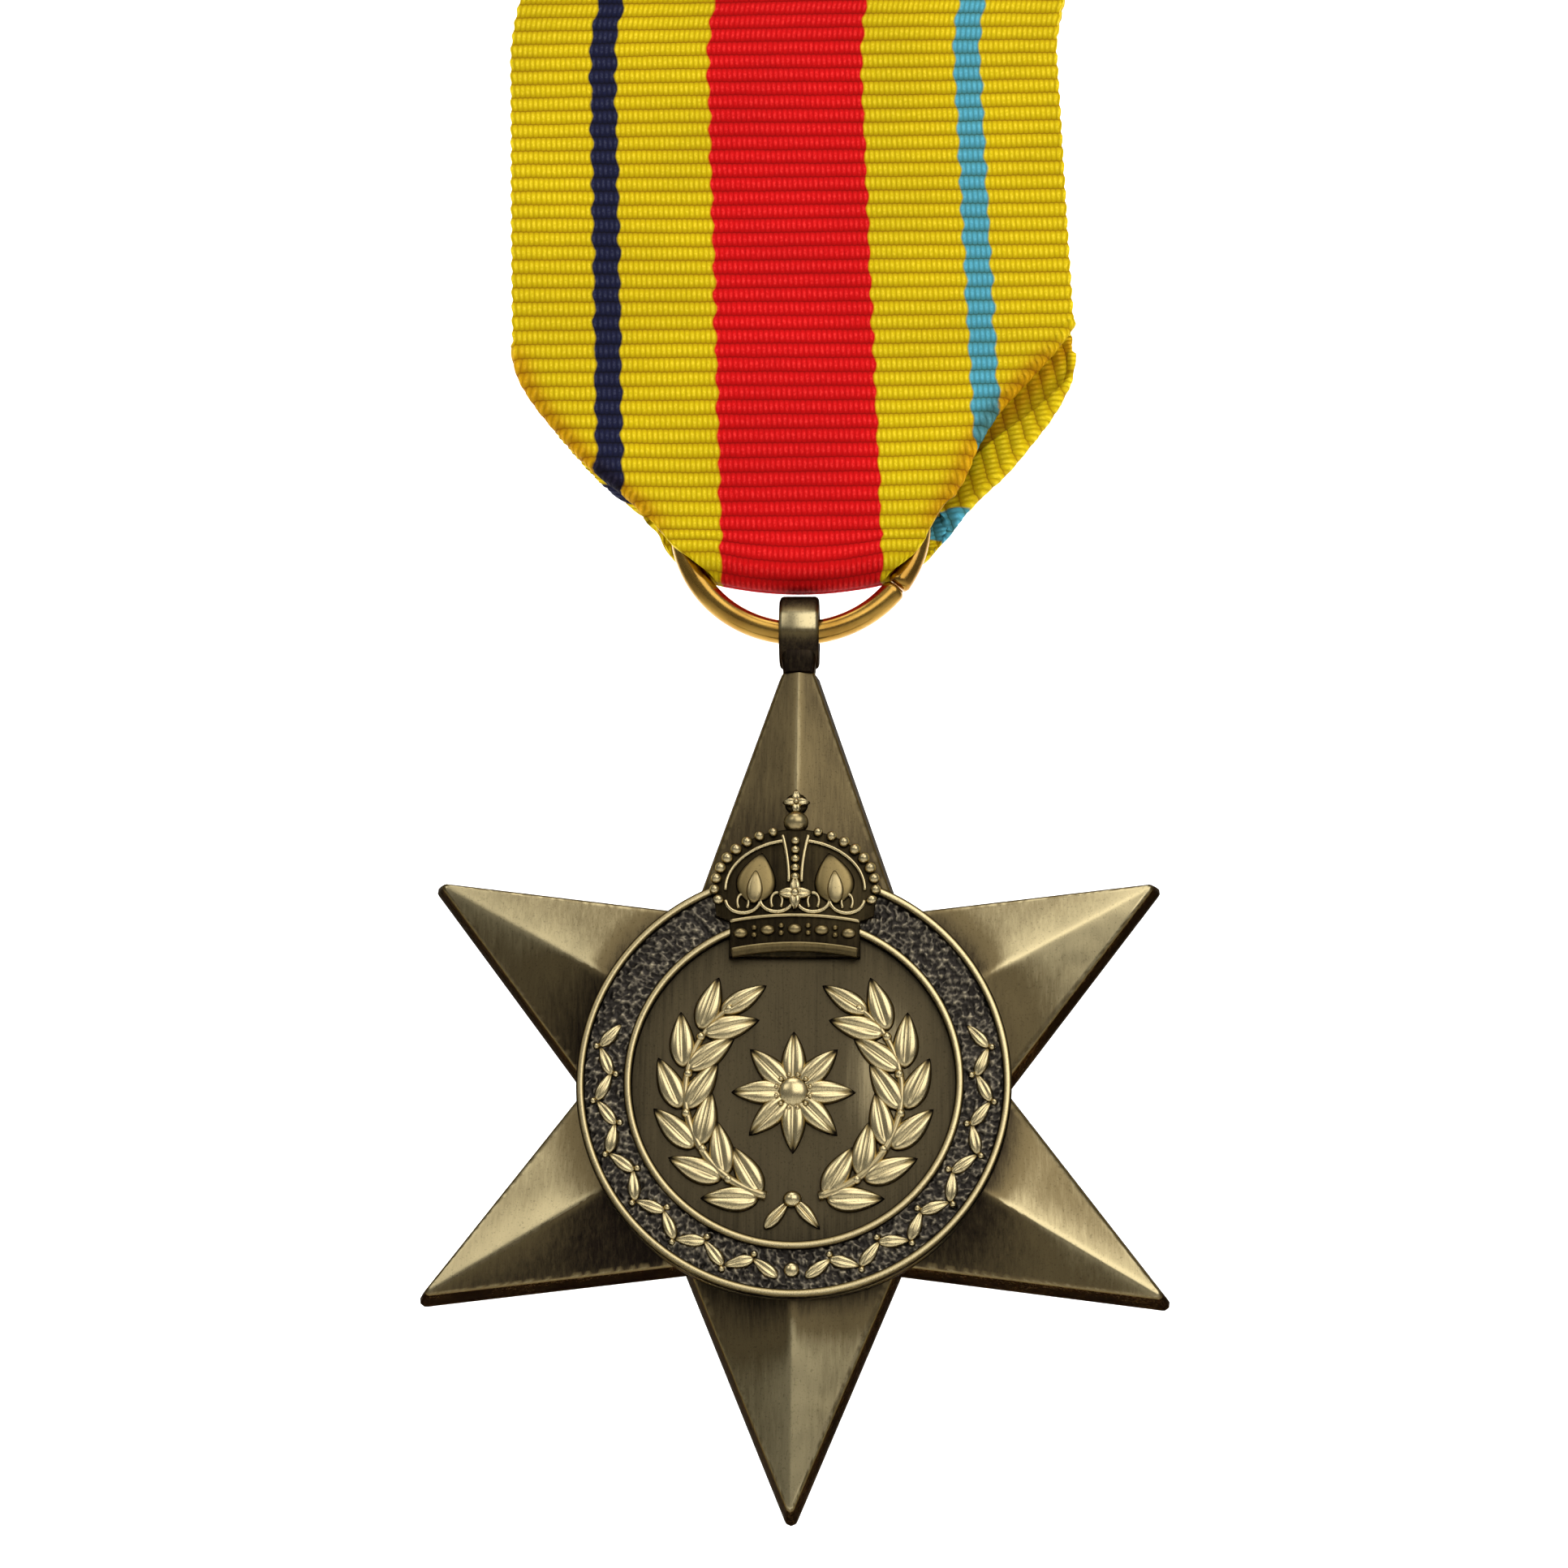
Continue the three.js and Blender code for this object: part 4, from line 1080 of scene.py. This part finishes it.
# Neck of the loop, from the barrel down to the star: (z, half width, front y, back y).
LOOP_NECK = [(25.15, 0.72, -1.25, 1.05), (24.7, 0.92, -1.42, 1.05), (24.1, 0.95, -1.35, 0.98),
             (23.7, 0.90, -1.22, 0.90), (23.38, 0.84, -1.12, 0.84), (23.31, 0.80, -1.05, 0.80)]


def squared(value):
    """Bends a cosine or sine so that a circle becomes a rounded square."""
    return np.sign(value) * np.abs(value) ** 0.35


def loop():
    """A faceted barrel round the ring on a short neck, brighter where it bulges forward: worn metal with a
    painted highlight.
    """
    build = Build()
    high = node_box("suspension_loop")[1]
    half, outer, hole = high[0], high[2] - WIRE_Z, 1.05
    edge = [(half, hole + 0.12), (half, outer - 0.22), (half - 0.07, outer - 0.07), (half - 0.22, outer)]
    section = [(half - 0.12, hole), *edge, *[(-x, r) for x, r in reversed(edge)], (0.12 - half, hole)]
    facet = TAU / LOOP_FACETS
    foremost = math.radians(179)
    rows, wear_and_light = [], []
    for angle in np.linspace(0, TAU, 96, endpoint=False):
        from_middle = (angle - foremost + facet / 2) % facet - facet / 2
        grow = 0.4 + 0.6 * math.cos(facet / 2) / math.cos(from_middle)
        rows.append([(x, r * grow * math.cos(angle), WIRE_Z + r * grow * math.sin(angle))
                     for x, r in section])
        # the front of the barrel is brighter: wear and a painted highlight
        rub_and_highlight = math.exp(-(((angle - foremost) / 0.32) ** 2))
        wear_and_light.append([0.10 + (1.1 if r >= outer - 0.1 else 0.15) * rub_and_highlight for _, r in section])
    build.grid(np.array(rows), np.array(wear_and_light), close_u=True, close_v=True)
    around = np.linspace(0, TAU, 40, endpoint=False)
    neck = []
    for z, wide, front, back in LOOP_NECK:
        y = (front + back) / 2 + (back - front) / 2 * squared(np.sin(around))
        neck.append(np.stack([wide * squared(np.cos(around)), y, np.full_like(y, z)], -1))
    build.grid(np.array(neck), 0.10, close_u=True, caps=True)
    piece = build.make("loop_on_star", "star", "star_bronze", STAR_BRONZE)
    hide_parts("suspension_loop")


loop()

# ---- Brooch ----

refine("brooch_plate", 0.14, BROOCH_BRASS, "brooch_bar_plate")
refine("ribbon_bar", 0.10, BROOCH_BRASS, "ribbon_rod")
refine("pin_hinge_bracket", 0.08, BROOCH_BRASS, "hinge_bracket")
refine("hinge_rivet", 0.10, PIN_STEEL, "rivet")
refine("brooch_pin", 0.05, PIN_STEEL, "pin")
refine("catch_housing", 0.10, BROOCH_BRASS, "catch")
refine("catch_lock", 0.08, BROOCH_BRASS, "safety_collar")

# ---- Floor, light and camera ----


def backdrop():
    """A pale floor that curves up into a wall, well clear of the medal."""
    n = Nodes("pale_floor")
    cloud = n.object_noise(6)
    n.set(Base_Color=n.mix(cloud, (0.80, 0.80, 0.80, 1), (0.84, 0.84, 0.83, 1)), Roughness=0.9)
    floor_z, wall_y, bend = -0.36, 0.45, 0.2
    profile = [(-0.9, floor_z)]
    for i in range(13):
        a = math.pi / 2 * i / 12
        profile.append((wall_y - bend + bend * math.sin(a), floor_z + bend - bend * math.cos(a)))
    profile.append((wall_y, 1.6))
    points = [(x, y, z) for y, z in profile for x in (-2.2, 2.2)]
    faces = [(2 * i, 2 * i + 1, 2 * i + 3, 2 * i + 2) for i in range(len(profile) - 1)]
    mesh = bpy.data.meshes.new("pale_floor")
    mesh.from_pydata(points, [], faces)
    mesh.polygons.foreach_set("use_smooth", [True] * len(faces))
    piece = new_object("pale_floor", mesh)
    mesh.materials.append(n.material)


def softbox(name, location, size, power, aim=None):
    """A large soft light on the medal, or with an aim a narrower one that metal doesn't mirror."""
    light = bpy.data.lights.new(name, "AREA")
    light.shape = "RECTANGLE"
    light.size, light.size_y = size
    light.energy = power
    piece = new_object(name, light)
    if aim:
        light.spread = math.radians(70)
        piece.visible_glossy = False
    target = Vector(aim or place((0, 0, 20)))
    piece.location = Vector(location)
    piece.visible_camera = False
    piece.rotation_euler = (target - piece.location).to_track_quat("-Z", "Y").to_euler()


def studio():
    world = bpy.data.worlds.new("studio")
    bpy.context.scene.world = world
    world.use_nodes = True
    background = world.node_tree.nodes["Background"]
    background.inputs["Color"].default_value = (0.96, 0.98, 1.0, 1)
    background.inputs["Strength"].default_value = 0.18
    softbox("key", (0.25, -0.62, 0.24), (0.66, 0.58), 2.2)
    softbox("left", (-0.38, -0.52, 0.30), (0.30, 0.30), 0.45)
    softbox("top", (-0.05, -0.35, 0.75), (0.5, 0.4), 1.3)
    softbox("wall_left", (-1.0, -0.1, 0.3), (0.5, 0.8), 5.5, aim=(-0.1, 0.45, 0.1))
    softbox("wall_right", (1.0, -0.1, 0.3), (0.5, 0.8), 5.5, aim=(0.1, 0.45, 0.1))
    bpy.context.scene.view_settings.view_transform = "Standard"


def camera():
    """Looks up at the star from below its centre, as the medal is seen against its ribbon."""
    stand = (6.1, -175.7, -38.6)
    pitch, yaw, roll = (math.radians(a) for a in (17.6, -2.24, 0.65))
    forward = Vector((math.sin(yaw) * math.cos(pitch), math.cos(yaw) * math.cos(pitch), math.sin(pitch)))
    right = Vector((math.cos(yaw), -math.sin(yaw), 0))
    up = right.cross(forward)
    turned_right = math.cos(roll) * right + math.sin(roll) * up
    turned_up = -math.sin(roll) * right + math.cos(roll) * up
    data = bpy.data.cameras.new("camera")
    data.sensor_width = 36
    data.lens = 77.1
    data.clip_start = 0.01
    piece = new_object("camera", data)
    basis = Matrix((turned_right, turned_up, -forward)).transposed()
    piece.matrix_world = Matrix.Translation(Vector(place(stand))) @ basis.to_4x4()
    bpy.context.scene.camera = piece


backdrop()
studio()
camera()
